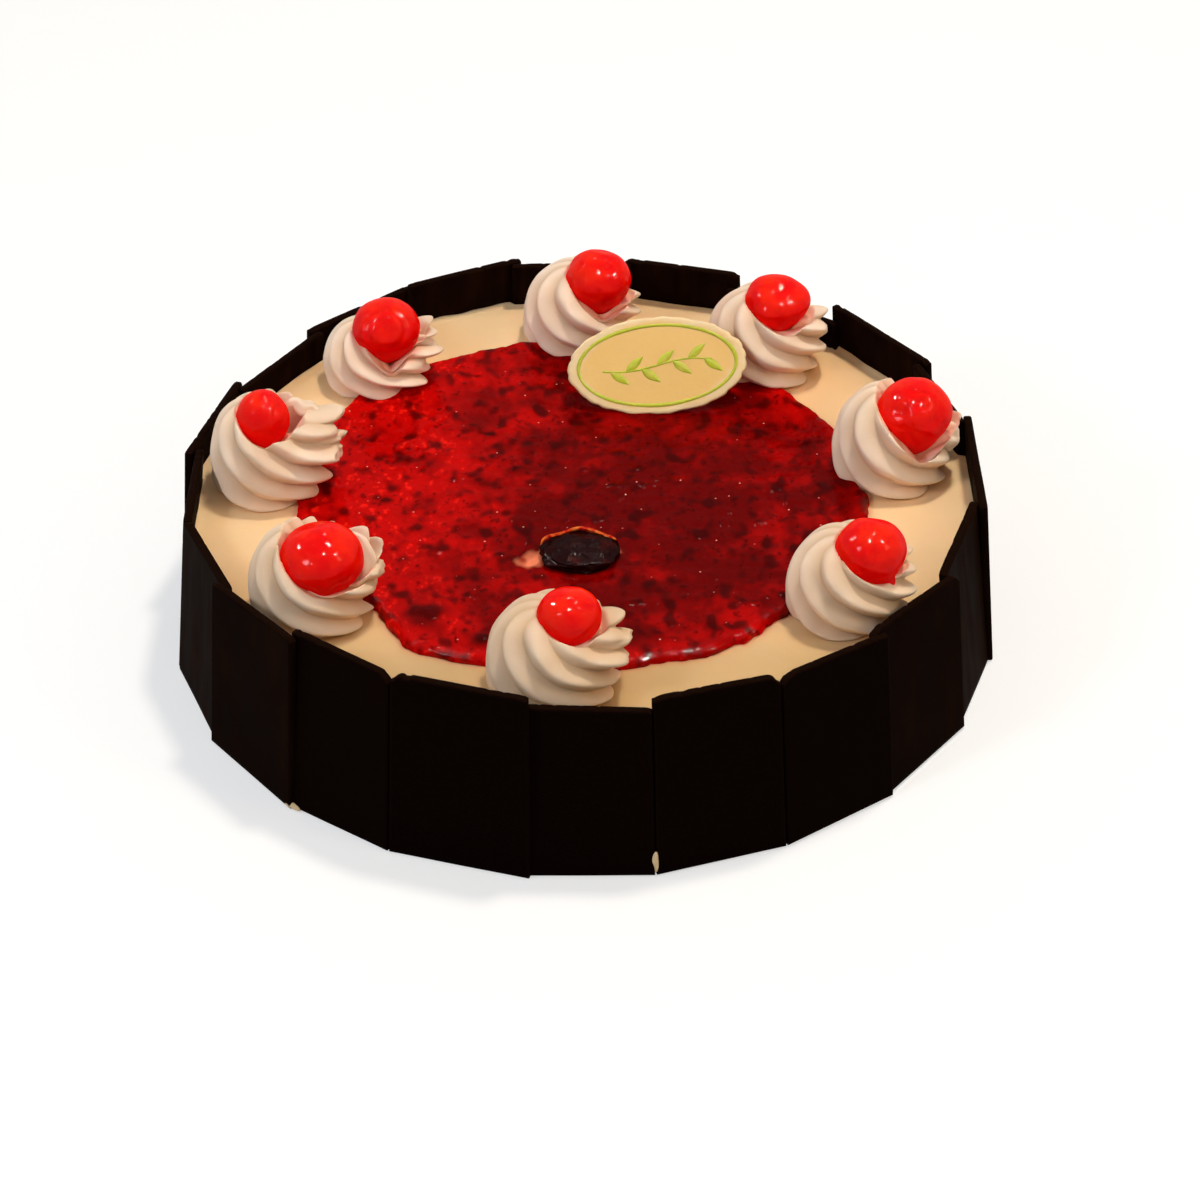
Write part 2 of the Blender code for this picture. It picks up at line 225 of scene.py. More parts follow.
class FruitSettings(bpy.types.PropertyGroup):
    """Glaze and cherries."""

    # Thin and deep glaze are mixed by a depth mark that also carries painted light and shade across
    # the pool.
    thin: colour_setting("Thin glaze", "Colour where the glaze is thin", tone(196, 6, 4))
    deep: colour_setting("Deep glaze", "Colour where the glaze is deep", tone(104, 1, 1))
    pulp: colour_setting("Pulp", "Colour of the fruit in the glaze", tone(52, 1, 1))
    cherry: colour_setting("Cherry", "Colour of the candied cherries", tone(255, 9, 4))
    dark_cherry: colour_setting("Dark cherry", "Colour of the stewed cherry", tone(30, 4, 3))
    glaze_rise: size_setting("Glaze rise", "Height of the glaze above the icing, in mm", 1.7)
    relief: size_setting("Relief", "Height of the lumps in the glaze, in mm", 0.26)


class PlaqueSettings(bpy.types.PropertyGroup):
    """White chocolate plaque."""

    face: colour_setting("Face", "Colour of the plaque's middle", tone(240, 196, 110))
    rim: colour_setting("Rim", "Colour of the plaque's rim", tone(242, 212, 160))
    paint: colour_setting("Paint", "Colour of the ring and the sprig", tone(186, 196, 32))
    line: size_setting("Line", "Width of the painted ring, in mm", 1.0)


class StageSettings(bpy.types.PropertyGroup):
    """Camera and lamps."""

    lens: FloatProperty(
        name="Lens", description="Focal length", default=102.2, subtype="DISTANCE_CAMERA",
    )
    key: FloatProperty(name="Key", description="Power of the warm key lamp", default=7.2)
    fill: FloatProperty(name="Fill", description="Power of the cool fill lamp", default=3.5)
    sparkle: FloatProperty(
        name="Sparkle",
        description="Power of each lamp that only shows in wet surfaces",
        default=15.0,
    )
    room: FloatProperty(name="Room", description="Strength of the room's light", default=0.38)


# ---------------------------------------------------------------- shapes

def turned(radius, degrees, height=0.0):
    angle = np.radians(degrees)
    return np.array([radius * np.cos(angle), radius * np.sin(angle), height])


def node_points(node):
    """A packed node's points, in millimetres."""
    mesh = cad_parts[node].data
    points = np.zeros(len(mesh.vertices) * 3)
    mesh.vertices.foreach_get("co", points)
    return points.reshape(-1, 3) / MM


def node_box(node):
    points = node_points(node)
    return points.min(0), points.max(0)


def middle_and_half(low, high):
    return (low + high) / 2, (high - low) / 2


def fitted(shape, low, high, smallest, largest):
    """Scales a shape so that what reached from smallest to largest fills low to high."""
    return (shape - smallest) / (largest - smallest) * (high - low) + low


def round_degrees(sides):
    """Evenly spaced angles all the way round, in degrees."""
    return np.arange(sides) * 360 / sides


def standing(radii, angles, heights):
    """Points by radius, angle in radians and height."""
    return np.stack(
        [radii * np.cos(angles), radii * np.sin(angles), 0 * radii + heights], axis=-1,
    )


def clouds(points, size, seed):
    """Smooth noise from about -1 to 1 whose lumps are about size millimetres wide."""
    shift = Vector((seed * 17.3, seed * 5.1, seed * 9.7))
    flat = points.reshape(-1, 3) / size
    values = [noise.noise(Vector(point) + shift) for point in flat]
    return np.array(values).reshape(points.shape[:-1])


def hump(distance, width):
    return np.exp(-((distance / width) ** 2))


def turn_between(first, second):
    """The smaller turn from one angle to another, in degrees."""
    return (first - second + 180) % 360 - 180


def ring_faces(rings, sides, start=0):
    """Quads between rings of points that follow each other."""
    faces = []
    for ring in range(rings - 1):
        low = start + ring * sides
        for side in range(sides):
            following = (side + 1) % sides
            faces.append((low + side, low + following, low + sides + following, low + sides + side))
    return faces


def make_piece(name, points, faces, material, node=None, marks=None):
    """One smooth mesh piece that rides on the cake. points are in millimetres."""
    mesh = bpy.data.meshes.new(name)
    mesh.from_pydata([tuple(point) for point in np.asarray(points) * MM], [], faces)
    for mark, values in (marks or {}).items():
        attribute = mesh.attributes.new(mark, "FLOAT", "POINT")
        attribute.data.foreach_set("value", np.asarray(values, dtype=np.float32).ravel())
    mesh.validate()
    mesh.shade_smooth()
    mesh.materials.append(material)
    piece = bpy.data.objects.new(name, mesh)
    bpy.context.scene.collection.objects.link(piece)
    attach(piece, BODY)
    for replaced in [node] if isinstance(node, str) else (node or []):
        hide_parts(replaced)
    return piece


def closed_rings(rings, first, last):
    """Points and faces of a skin over rings of points, closed by a point at either end."""
    count, sides = rings.shape[:2]
    points = np.concatenate([rings.reshape(-1, 3), [first, last]])
    faces = ring_faces(count, sides)
    first_index = count * sides
    last_low = (count - 1) * sides
    for side in range(sides):
        following = (side + 1) % sides
        faces.append((first_index, following, side))
        faces.append((first_index + 1, last_low + side, last_low + following))
    return points, faces


# ---------------------------------------------------------------- materials

TORN_TONE = tone(246, 138, 98)  # stained cream, where the glaze is torn
# Painted glints: pale dots in the glaze's colour, like small bubbles, that stand for glints on the
# wet gel.
PAINTED_GLINT_TONE = tone(255, 176, 160)
LIP_TONE = tone(226, 120, 44)
PAINTED_GLINT_SPACING = 7  # in millimetres


def add_node(tree, kind, options=None, inputs=None):
    """A shader node; an input that is a socket is linked, any other value is set."""
    node = tree.nodes.new(kind)
    for option, value in (options or {}).items():
        setattr(node, option, value)
    for name, value in (inputs or {}).items():
        socket = node.inputs[name]
        if isinstance(value, bpy.types.NodeSocket):
            tree.links.new(value, socket)
        else:
            socket.default_value = value
    return node


def new_material(name, **shader_values):
    """A Principled material, its tree and its shader; values are named as the sockets."""
    material = bpy.data.materials.new(name)
    material.use_nodes = True
    tree = material.node_tree
    shader = tree.nodes["Principled BSDF"]
    for socket, value in shader_values.items():
        shader.inputs[socket.replace("_", " ")].default_value = value
    return material, tree, shader


def place(tree):
    """Where a point is on the cake, in metres."""
    return add_node(tree, "ShaderNodeTexCoord").outputs["Object"]


def stretched(tree, scale):
    return add_node(
        tree, "ShaderNodeMapping", inputs={"Vector": place(tree), "Scale": scale},
    ).outputs["Vector"]


def cloud_texture(tree, size, detail=3.0, roughness=0.55, distortion=0.0, vector=None):
    """A noise texture whose lumps are about size millimetres wide."""
    inputs = {
        "Vector": vector or place(tree),
        "Scale": 1 / (size * MM),
        "Detail": detail,
        "Roughness": roughness,
        "Distortion": distortion,
    }
    return add_node(tree, "ShaderNodeTexNoise", inputs=inputs).outputs["Fac"]


def marked(tree, mark):
    return add_node(
        tree, "ShaderNodeAttribute", {"attribute_name": mark},
    ).outputs["Fac"]


def stepped(tree, value, low, high, low_result=0.0, high_result=1.0):
    """Smoothly maps low..high to low_result..high_result."""
    return add_node(
        tree,
        "ShaderNodeMapRange",
        {"interpolation_type": "SMOOTHSTEP"},
        {
            "Value": value, "From Min": low, "From Max": high,
            "To Min": low_result, "To Max": high_result,
        },
    ).outputs["Result"]


def calculate(tree, operation, first, second):
    node = add_node(tree, "ShaderNodeMath", {"operation": operation, "use_clamp": False})
    for socket, value in zip(node.inputs, (first, second)):
        if isinstance(value, bpy.types.NodeSocket):
            tree.links.new(value, socket)
        else:
            socket.default_value = value
    return node.outputs["Value"]


def blended(tree, share, first, second):
    """Two colours mixed by share; a colour is a socket or three numbers."""
    node = add_node(tree, "ShaderNodeMix", {"data_type": "RGBA"})
    pairs = ((node.inputs["Factor"], share), (node.inputs[6], first), (node.inputs[7], second))
    for socket, value in pairs:
        if isinstance(value, bpy.types.NodeSocket):
            tree.links.new(value, socket)
        elif isinstance(value, (int, float)):
            socket.default_value = value
        else:
            socket.default_value = (*value, 1.0)
    return node.outputs[2]


def product(tree, first, second):
    return calculate(tree, "MULTIPLY", first, second)


def scaled(colour, *shares):
    """A colour with its parts multiplied, none above 1."""
    return tuple(min(1.0, part * share) for part, share in zip(colour, shares))


def link_shader(tree, shader, **outputs):
    """Links outputs to the shader; they are named as its sockets."""
    for socket, output in outputs.items():
        tree.links.new(output, shader.inputs[socket.replace("_", " ")])


def bumped(tree, height, depth, normal=None):
    """A normal roughened by a height texture that is depth millimetres high."""
    inputs = {"Height": height, "Distance": depth * MM, "Strength": 1.0}
    if normal:
        inputs["Normal"] = normal
    return add_node(tree, "ShaderNodeBump", inputs=inputs).outputs["Normal"]


def icing_material(cream):
    material, tree, shader = new_material(
        "icing",
        Subsurface_Weight=0.25,
        Subsurface_Radius=(0.004, 0.0026, 0.0016),
        Subsurface_Scale=1.0,
        Specular_IOR_Level=0.08,
    )
    wide = cloud_texture(tree, 45, 2)
    fine = cloud_texture(tree, 3.5, 4)
    trowel = cloud_texture(tree, 1.3, 3, vector=stretched(tree, (0.18, 0.9, 1.0)))
    pale = scaled(cream.icing, 1.06, 1.06, 1.06)
    deep = scaled(cream.icing, 0.93, 0.88, 0.82)
    colour = blended(tree, stepped(tree, wide, 0.3, 0.7), deep, pale)
    # Painted shade: the icing is mixed towards the shade colour at the front of the cake.
    front = product(tree, marked(tree, "front"), stepped(tree, wide, 0.3, 0.7, 1.0, 0.8))
    colour = blended(tree, front, colour, cream.shade)
    link_shader(
        tree, shader,
        Base_Color=blended(tree, marked(tree, "stain"), colour, cream.stain),
        Roughness=stepped(tree, fine, 0.2, 0.8, 0.40, 0.58),
        Normal=bumped(tree, fine, 0.10, bumped(tree, trowel, 0.05)),
    )
    return material


def piped_material(cream):
    material, tree, shader = new_material(
        "piped_cream",
        Subsurface_Weight=0.15,
        Subsurface_Radius=(0.0028, 0.0018, 0.0011),
        Subsurface_Scale=1.0,
        Specular_IOR_Level=0.08,
    )
    wide = cloud_texture(tree, 14, 2)
    fine = cloud_texture(tree, 1.1, 4)
    pale = scaled(cream.piped, 1.05, 1.05, 1.05)
    deep = scaled(cream.piped, 0.95, 0.91, 0.86)
    colour = blended(tree, stepped(tree, wide, 0.3, 0.7), deep, pale)
    # Painted shade, strongest on the rosettes at the front, and painted shade down in the grooves.
    colour = blended(tree, product(tree, marked(tree, "shade"), 0.4), colour, cream.shade)
    colour = blended(tree, marked(tree, "fold"), colour, cream.fold)
    spread = product(tree, marked(tree, "stain"), stepped(tree, wide, 0.3, 0.6, 0.4, 1.0))
    link_shader(
        tree, shader,
        Base_Color=blended(tree, spread, colour, cream.stain),
        Roughness=stepped(tree, fine, 0.2, 0.8, 0.38, 0.55),
        Normal=bumped(tree, fine, 0.05),
    )
    return material


def chocolate_material(chocolate):
    material, tree, shader = new_material(
        "dark_chocolate", Specular_IOR_Level=0.003, Specular_Tint=(1.0, 0.6, 0.3, 1.0),
    )
    streaks = cloud_texture(tree, 4.0, 3, 0.5, vector=stretched(tree, (1.0, 1.0, 0.12)))
    wide = cloud_texture(tree, 18, 2)
    fine = cloud_texture(tree, 0.7, 3)
    # Painted sheen: the brown streaks show only where the sheen mark is set, on the panels that
    # face sideways.
    streaked = product(
        tree, stepped(tree, streaks, 0.20, 0.90), stepped(tree, wide, 0.3, 0.7, 0.3, 1.0),
    )
    streaked = product(tree, streaked, marked(tree, "sheen"))
    colour = blended(tree, streaked, chocolate.face, chocolate.sheen)
    link_shader(
        tree, shader,
        Base_Color=blended(tree, marked(tree, "edge"), colour, chocolate.edge),
        Roughness=stepped(tree, streaks, 0.3, 0.75, 0.46, 0.64),
        Normal=bumped(tree, fine, 0.02, bumped(tree, streaks, 0.05)),
    )
    return material


def glaze_material(fruit):
    """Red gel: darker where deep, with painted light and shade across the pool, blots of dark pulp,
    painted glints and cream showing where torn.
    """
    material, tree, shader = new_material(
        "fruit_glaze", Coat_Roughness=0.05, Specular_IOR_Level=0.0,
    )
    drawn = stretched(tree, (1.0, 0.72, 1.0))
    wide = cloud_texture(tree, 20, 3)
    middle = cloud_texture(tree, 7, 2, vector=drawn)
    blots = cloud_texture(tree, 5.0, 1, vector=drawn)
    specks = cloud_texture(tree, 1.9, 1, vector=drawn)
    # The depth mark carries painted light and shade across the pool as well as the glaze's depth.
    depth = marked(tree, "depth")
    for texture in (wide, middle):
        depth = calculate(tree, "ADD", depth, stepped(tree, texture, 0.3, 0.7, -0.20, 0.20))
    colour = blended(tree, stepped(tree, depth, 0.0, 1.0), fruit.thin, fruit.deep)
    fleck = product(tree, stepped(tree, specks, 0.42, 0.30), stepped(tree, depth, 0.45, 0.0))
    colour = blended(tree, fleck, colour, scaled(fruit.thin, 1.5, 5, 3))
    pulp = marked(tree, "pulp")
    for lumps in (
        stepped(tree, blots, 0.50, 0.72, 0.0, 0.80), stepped(tree, specks, 0.60, 0.76, 0.0, 0.60),
    ):
        pulp = calculate(tree, "MAXIMUM", pulp, lumps)
    colour = blended(tree, pulp, colour, fruit.pulp)
    colour = blended(tree, marked(tree, "torn"), colour, TORN_TONE)
    # Painted glints: pale dots on some of the cells, kept off the rim.
    cells = add_node(
        tree,
        "ShaderNodeTexVoronoi",
        {"voronoi_dimensions": "2D"},
        {"Vector": place(tree), "Scale": 1 / (PAINTED_GLINT_SPACING * MM)},
    ).outputs
    chosen = stepped(tree, cells["Color"], 0.60, 0.90)
    painted_glint = product(tree, stepped(tree, cells["Distance"], 0.040, 0.022), chosen)
    painted_glint = product(tree, painted_glint, stepped(tree, marked(tree, "rim"), 0.3, 0.05))
    wet = product(tree, marked(tree, "rim"), stepped(tree, blots, 0.45, 0.60, 0.0, 0.6))
    normal = bumped(tree, specks, 0.30, bumped(tree, blots, 0.30))
    link_shader(
        tree, shader,
        Base_Color=blended(tree, painted_glint, colour, PAINTED_GLINT_TONE),
        Roughness=stepped(tree, middle, 0.3, 0.7, 0.14, 0.30),
        Coat_Weight=calculate(tree, "ADD", wet, 0.05),
        Normal=normal,
        Coat_Normal=normal,
    )
    return material


def cherry_material(fruit):
    """Candied flesh with pale veins, and painted light: orange towards the top, as if light shone
    through it.
    """
    material, tree, shader = new_material(
        "candied_cherry",
        Coat_Weight=0.16,
        Coat_Roughness=0.07,
        Specular_IOR_Level=0.0,
        Subsurface_Weight=0.22,
        Subsurface_Radius=(0.006, 0.0008, 0.0003),
        Subsurface_Scale=1.0,
    )
    wide = cloud_texture(tree, 6, 3)
    veins = cloud_texture(tree, 2.4, 4, distortion=1.0)
    dents = cloud_texture(tree, 3.0, 2)
    deep = scaled(fruit.cherry, 0.88, 0.3, 0.5)
    orange = scaled(fruit.cherry, 1.06, 9.0, 2.0)
    colour = blended(tree, stepped(tree, wide, 0.3, 0.7), deep, fruit.cherry)
    # Painted light: the top of each cherry is mixed towards orange.
    glow = product(tree, marked(tree, "lit"), stepped(tree, wide, 0.38, 0.68, 0.0, 0.9))
    colour = blended(tree, glow, colour, orange)
    link_shader(
        tree, shader,
        Base_Color=blended(tree, stepped(tree, veins, 0.60, 0.78, 0.0, 0.7), colour, orange),
        Roughness=stepped(tree, wide, 0.3, 0.7, 0.10, 0.22),
        Normal=bumped(tree, dents, 0.20),
        Coat_Normal=bumped(tree, dents, 0.22),
    )
    return material


def lip_material(fruit):
    """Glaze drawn so thin that light turns it orange."""
    material, tree, shader = new_material(
        "thin_glaze", Coat_Weight=0.1, Coat_Roughness=0.05, Specular_IOR_Level=0.0,
    )
    patches = cloud_texture(tree, 2.5, 2)
    link_shader(
        tree, shader,
        Base_Color=blended(tree, stepped(tree, patches, 0.35, 0.65), fruit.thin, LIP_TONE),
        Roughness=stepped(tree, patches, 0.3, 0.7, 0.2, 0.35),
    )
    return material


def dark_cherry_material(fruit):
    material, tree, shader = new_material(
        "dark_cherry", Coat_Weight=0.08, Coat_Roughness=0.05, Specular_IOR_Level=0.0,
    )
    wide = cloud_texture(tree, 5, 4, distortion=0.6)
    fine = cloud_texture(tree, 1.2, 3)
    rust = scaled(fruit.dark_cherry, 4.0, 2.0, 1.2)
    normal = bumped(tree, fine, 0.25)
    link_shader(
        tree, shader,
        Base_Color=blended(tree, stepped(tree, wide, 0.5, 0.72), fruit.dark_cherry, rust),
        Roughness=stepped(tree, fine, 0.3, 0.7, 0.12, 0.3),
        Normal=normal,
        Coat_Normal=normal,
    )
    return material


def white_chocolate_material(plaque):
    material, tree, shader = new_material(
        "white_chocolate",
        Subsurface_Weight=0.15,
        Subsurface_Radius=(0.003, 0.002, 0.001),
        Subsurface_Scale=1.0,
        Specular_IOR_Level=0.2,
    )
    wide = cloud_texture(tree, 12, 3)
    fine = cloud_texture(tree, 1.5, 3)
    uneven = stepped(tree, wide, 0.3, 0.7, -0.18, 0.18)
    rim = calculate(tree, "ADD", marked(tree, "rim"), uneven)
    link_shader(
        tree, shader,
        Base_Color=blended(tree, stepped(tree, rim, 0.25, 0.9), plaque.face, plaque.rim),
        Roughness=stepped(tree, fine, 0.3, 0.7, 0.30, 0.48),
        Normal=bumped(tree, fine, 0.04),
    )
    return material


def paint_material(plaque):
    material, tree, shader = new_material("plaque_paint", Specular_IOR_Level=0.15)
    patches = cloud_texture(tree, 1.6, 3)
    pale = blended(tree, 0.35, plaque.paint, plaque.face)
    link_shader(
        tree, shader,
        Base_Color=blended(tree, stepped(tree, patches, 0.45, 0.75), plaque.paint, pale),
        Roughness=stepped(tree, patches, 0.3, 0.7, 0.38, 0.55),
    )
    return material


# ---------------------------------------------------------------- iced cake

ICING_SIDES = 480
ICING_LEVELS = (0.6, 8.0, 16.0, 24.0, 31.0)  # heights of the rings down its side
SIDE_INSET = 1.2  # how far its side stays behind the collar

# Icing outside the collar: (along the collar, height, radius) from a point at its foot.
SQUEEZED = (
    ("seam_cream", -80.0, ((0.0, 0.8, 0.35), (0.1, 2.4, 0.6), (-0.1, 4.6, 0.75), (0.0, 7.2, 0.35))),
    ("foot_cream", -131.5, ((-2.6, 0.7, 0.4), (-0.8, 0.9, 0.8), (1.2, 0.9, 0.7), (3.2, 0.6, 0.4))),
)


def collar_reach(degrees, heights):
    """How far it is from the cake's axis to the collar's inner faces."""
    points, faces = [], []
    for node in sorted(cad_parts):
        if node.startswith("panel_"):
            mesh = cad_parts[node].data
            start = len(points)
            points += [vertex.co / MM for vertex in mesh.vertices]
            faces += [[start + index for index in face.vertices] for face in mesh.polygons]
    collar = BVHTree.FromPolygons(points, faces)
    widest = CAD_BOX[1][0] / MM
    reach = np.zeros((len(heights), len(degrees)))
    for row, height in enumerate(heights):
        for column, angle in enumerate(degrees):
            direction = Vector(turned(1.0, angle))
            hit = collar.ray_cast(Vector((0, 0, height)), direction)[3]
            reach[row, column] = hit if hit and hit < widest + 5 else np.nan
    return reach


def widened(reach):
    """Fills slots between panels from their sides, so that the icing bulges into them."""
    for row in reach:
        missing = np.isnan(row)
        row[missing] = np.interp(
            np.flatnonzero(missing), np.flatnonzero(~missing), row[~missing], period=len(row),
        ) + 1.4
    return reach


def build_icing(cream):
    """A gently rippled top that rises where it meets the collar, over sides behind it."""
    top = node_box("cake")[1][2]
    degrees = round_degrees(ICING_SIDES)
    heights = np.array([*ICING_LEVELS, top + 0.5])
    reach = widened(collar_reach(degrees, heights))
    near_collar = 1 - 0.07 * np.linspace(0.9, 0, 12) ** 1.5
    shares = np.concatenate([np.linspace(0.02, 0.93, 90), near_collar])
    inner = reach[-1] - 0.05
    radii = shares[:, None] * inner[None, :]
    angles = np.radians(degrees)
    surface = standing(radii, angles, top)
    flat = surface * (1, 1, 0)
    ripple = clouds(flat, 34, 1) + 0.35 * clouds(flat * (1, 2.2, 1), 9, 2)
    lift = (0.5 + 0.6 * clouds(flat, 7, 3)) * hump(inner[None, :] - radii, 1.3)
    near_edge = hump(inner[None, :] - radii, 4.0)
    surface[..., 2] += cream.ripple * ripple + lift - 0.25 * near_edge
    surface[..., 2] -= 0.35
    lower = [
        standing(reach[row] - SIDE_INSET, angles, heights[row])
        for row in range(len(ICING_LEVELS) - 1, -1, -1)
    ]
    lower.append(standing(reach[0] - 0.4, angles, 0))
    rings = np.concatenate([surface, np.array(lower)])
    first = np.array([0, 0, surface[0, :, 2].mean()])
    points, faces = closed_rings(rings, first, np.array([0.0, 0.0, 0.0]))
    stain = np.zeros(len(points))
    stain[: radii.size] = 0.35 * glaze_shadow(surface).ravel()
    # Painted shade: the front mark rises from 0 to 1 towards the front of the cake, where the icing
    # is coloured deeper.
    front = np.clip((-25 - points[:, 1]) / 50, 0, 1)
    marks = {"stain": stain, "front": front * front * (3 - 2 * front)}
    material = icing_material(cream)
    make_piece("icing", points, faces, material, "cake", marks)
    squeeze_cream(material)


def squeeze_cream(material):
    """Icing that has come through a seam of the collar, and a smear along its foot."""
    for name, azimuth, stops in SQUEEZED:
        origin = turned(BASE_RADIUS - 0.5, azimuth)
        sideways = turned(1.0, azimuth + 90)
        stops = [
            (*(along * sideways + (0, 0, height)), thick) for along, height, thick in stops
        ]
        build_strand(name, stops, origin, material, 7)


def glaze_shadow(surface):
    """1 where the icing lies just outside the glaze, fading outwards."""
    degrees = np.degrees(np.arctan2(surface[..., 1], surface[..., 0]))
    outside = np.hypot(surface[..., 0], surface[..., 1]) - glaze_outline(degrees)
    return np.where(outside > -1.0, hump(np.maximum(outside, 0), 1.1), 0.0)


# ---------------------------------------------------------------- chocolate collar

BASE_RADIUS = 109.6  # where the panels' corners would stand if they made an even ring
EVENING = 0.7  # how far towards that ring a panel's lower corners are drawn
# Extra chips off the top corners of some panels: depths at the first and last corner.
CORNER_CHIPS = {
    "panel_02": (0.0, 1.7), "panel_03": (1.3, 0.0), "panel_05": (0.0, 1.9), "panel_06": (1.5, 0.0),
    "panel_07": (0.6, 1.2), "panel_13": (0.4, 1.4),
}
PANEL_BORDER = 0.35  # width of the rounded border of a panel's faces
PANEL_COLUMNS, PANEL_ROWS = 46, 34
SEAM_CLOSING = 0.29  # how far a panel is drawn out at each end, to close the packed gaps


def panel_frame(node):
    """A leaning slab's own directions and sizes, read from its packed node."""
    points = node_points(node)
    middle = points.mean(0)
    vectors = np.linalg.eigh(np.cov((points - middle).T))[1]
    outwards = vectors[:, 0] * np.sign(vectors[:, 0] @ (middle * (1, 1, 0)))
    outwards[2] = 0
    outwards /= np.linalg.norm(outwards)
    along = np.array([-outwards[1], outwards[0], 0.0])
    place_along = points @ along
    place_out = points @ outwards
    halfway = points[:, 2] > points[:, 2].max() / 2
    is_first = place_along < np.median(place_along)
    return {
        "along": along,
        "outwards": outwards,
        "first": (place_along[~halfway].min(), place_along[halfway].min()),
        "last": (place_along[~halfway].max(), place_along[halfway].max()),
        "tops": (points[is_first, 2].max(), points[~is_first, 2].max()),
        "out": place_out[~halfway].max(),
        "lean": lean_of(place_out, points[:, 2]),
        "thick": thickness_of(place_out, points[:, 2]),
    }


def lean_of(place_out, heights):
    """How far the slab leans inwards for each millimetre of height."""
    low = heights < heights.max() * 0.1
    high = heights > heights.max() * 0.85
    return (place_out[low].max() - place_out[high].max()) / (
        heights[high].mean() - heights[low].mean()
    )


def thickness_of(place_out, heights):
    low = heights < heights.max() * 0.1
    return place_out[low].max() - place_out[low].min()


def build_panel(index, node, chocolate, material):
    """A snapped slab: chipped along its top, a little bowed, with lighter broken edges."""
    slab = panel_frame(node)
    seed = index + 1
    border = PANEL_BORDER / (slab["last"][0] - slab["first"][0])
    columns = np.unique([*np.linspace(0, 1, PANEL_COLUMNS), border, 1 - border])
    tallest = max(slab["tops"])
    rows = np.unique([
        *np.linspace(0, 1, PANEL_ROWS), PANEL_BORDER / tallest,
        *(1 - np.array([PANEL_BORDER, 0.8, 1.3, 2.0]) / tallest),
    ])
    across, up = np.meshgrid(columns, rows)
    first = slab["first"][0] + (slab["first"][1] - slab["first"][0]) * up - SEAM_CLOSING
    last = slab["last"][0] + (slab["last"][1] - slab["last"][0]) * up + SEAM_CLOSING
    along = first + (last - first) * across
    edge_line = np.stack([along[-1], 0 * along[-1], 0 * along[-1]], axis=-1)
    rough = clouds(edge_line, 1.7, seed) + 0.5 * clouds(edge_line, 0.8, seed + 50)
    chips = chocolate.chip * np.maximum(0, rough - 0.18)
    from_first = along[-1] - along[-1][0]
    from_last = along[-1][-1] - along[-1]
    corner = 0.5 + 0.9 * abs(noise.noise(Vector((seed * 3.7, 0.3, 0.9))))
    chips += corner * hump(from_first, 0.9) * 0.8 + 0.9 * corner * hump(from_last, 0.7) * 0.6
    extra = CORNER_CHIPS.get(node, (0.0, 0.0))
    chips += extra[0] * hump(from_first, 1.5) + extra[1] * hump(from_last, 1.5)
    tops = slab["tops"][0] + (slab["tops"][1] - slab["tops"][0]) * across[-1] - chips
    heights = up * tops[None, :]
    bow = 0.25 * clouds(np.stack([along, heights, 0 * along], axis=-1), 26, seed + 9)
    corners = np.hypot(slab["out"], (slab["first"][0], slab["last"][0]))
    drawn = EVENING * (BASE_RADIUS - corners)
    face = slab["out"] - slab["lean"] * heights
    face = face + (1 - up) * (drawn[0] * (1 - across) + drawn[1] * across)

    def grid(depth, inset):
        on_rim = (across == 0) | (across == 1) | (up == 0) | (up == 1)
        out = face - depth + bow * np.sin(np.pi * across) * 0.6 + np.where(on_rim, inset, 0)
        return (
            along[..., None] * slab["along"] + out[..., None] * slab["outwards"]
            + heights[..., None] * np.array([0, 0, 1.0])
        )

    outer = grid(0.0, -PANEL_BORDER)
    inner = grid(slab["thick"], PANEL_BORDER)
    row_count, column_count = across.shape
    points = np.concatenate([outer.reshape(-1, 3), inner.reshape(-1, 3)])
    back = row_count * column_count
    faces = []
    for row in range(row_count - 1):
        for column in range(column_count - 1):
            low = row * column_count + column
            high = low + column_count
            faces.append((low, low + 1, high + 1, high))
            faces.append((back + low, back + high, back + high + 1, back + low + 1))
    rim = list(range(column_count))
    rim += [row * column_count + column_count - 1 for row in range(1, row_count)]
    rim += [(row_count - 1) * column_count + column for column in range(column_count - 2, -1, -1)]
    rim += [row * column_count for row in range(row_count - 2, 0, -1)]
    for here, following in zip(rim, rim[1:] + rim[:1]):
        faces.append((here, back + here, back + following, following))
    from_top = tops[None, :] - heights
    edge = 0.9 * hump(from_top, 0.35) + 0.25 * hump(np.minimum(along - first, last - along), 0.4)
    edge = np.clip(edge, 0, 1)
    # Painted sheen: only the panels that face sideways, away from the front, get the brown streaks.
    facing = np.degrees(np.arctan2(slab["outwards"][1], slab["outwards"][0]))
    sheen = np.clip((abs(turn_between(facing, -90)) - 35) / 30, 0, 1)
    marks = {
        "edge": np.concatenate([edge.ravel(), edge.ravel()]),
        "sheen": np.full(len(points), sheen),
    }
    piece = make_piece(
        f"collar_{node}", points, faces, material, node, marks,
    )
    piece.data.set_sharp_from_angle(angle=math.radians(50))


# ---------------------------------------------------------------- fruit glaze

GLAZE_WAVES = ((1, 2.0, 130), (2, 1.4, 115), (3, 0.9, 10), (7, 0.7, 40), (13, 0.5, 75))
GLAZE_RADIUS = 75.5
GLAZE_SIDES = 440
GLAZE_RIM_WIDTH = 1.5
GLAZE_RIM_STEPS = (0.0, 0.12, 0.3, 0.55, 0.9, 1.35, 1.9, 2.6, 3.4)  # distances from its edge
GLAZE_SINK = 0.5  # how far it goes down into the icing


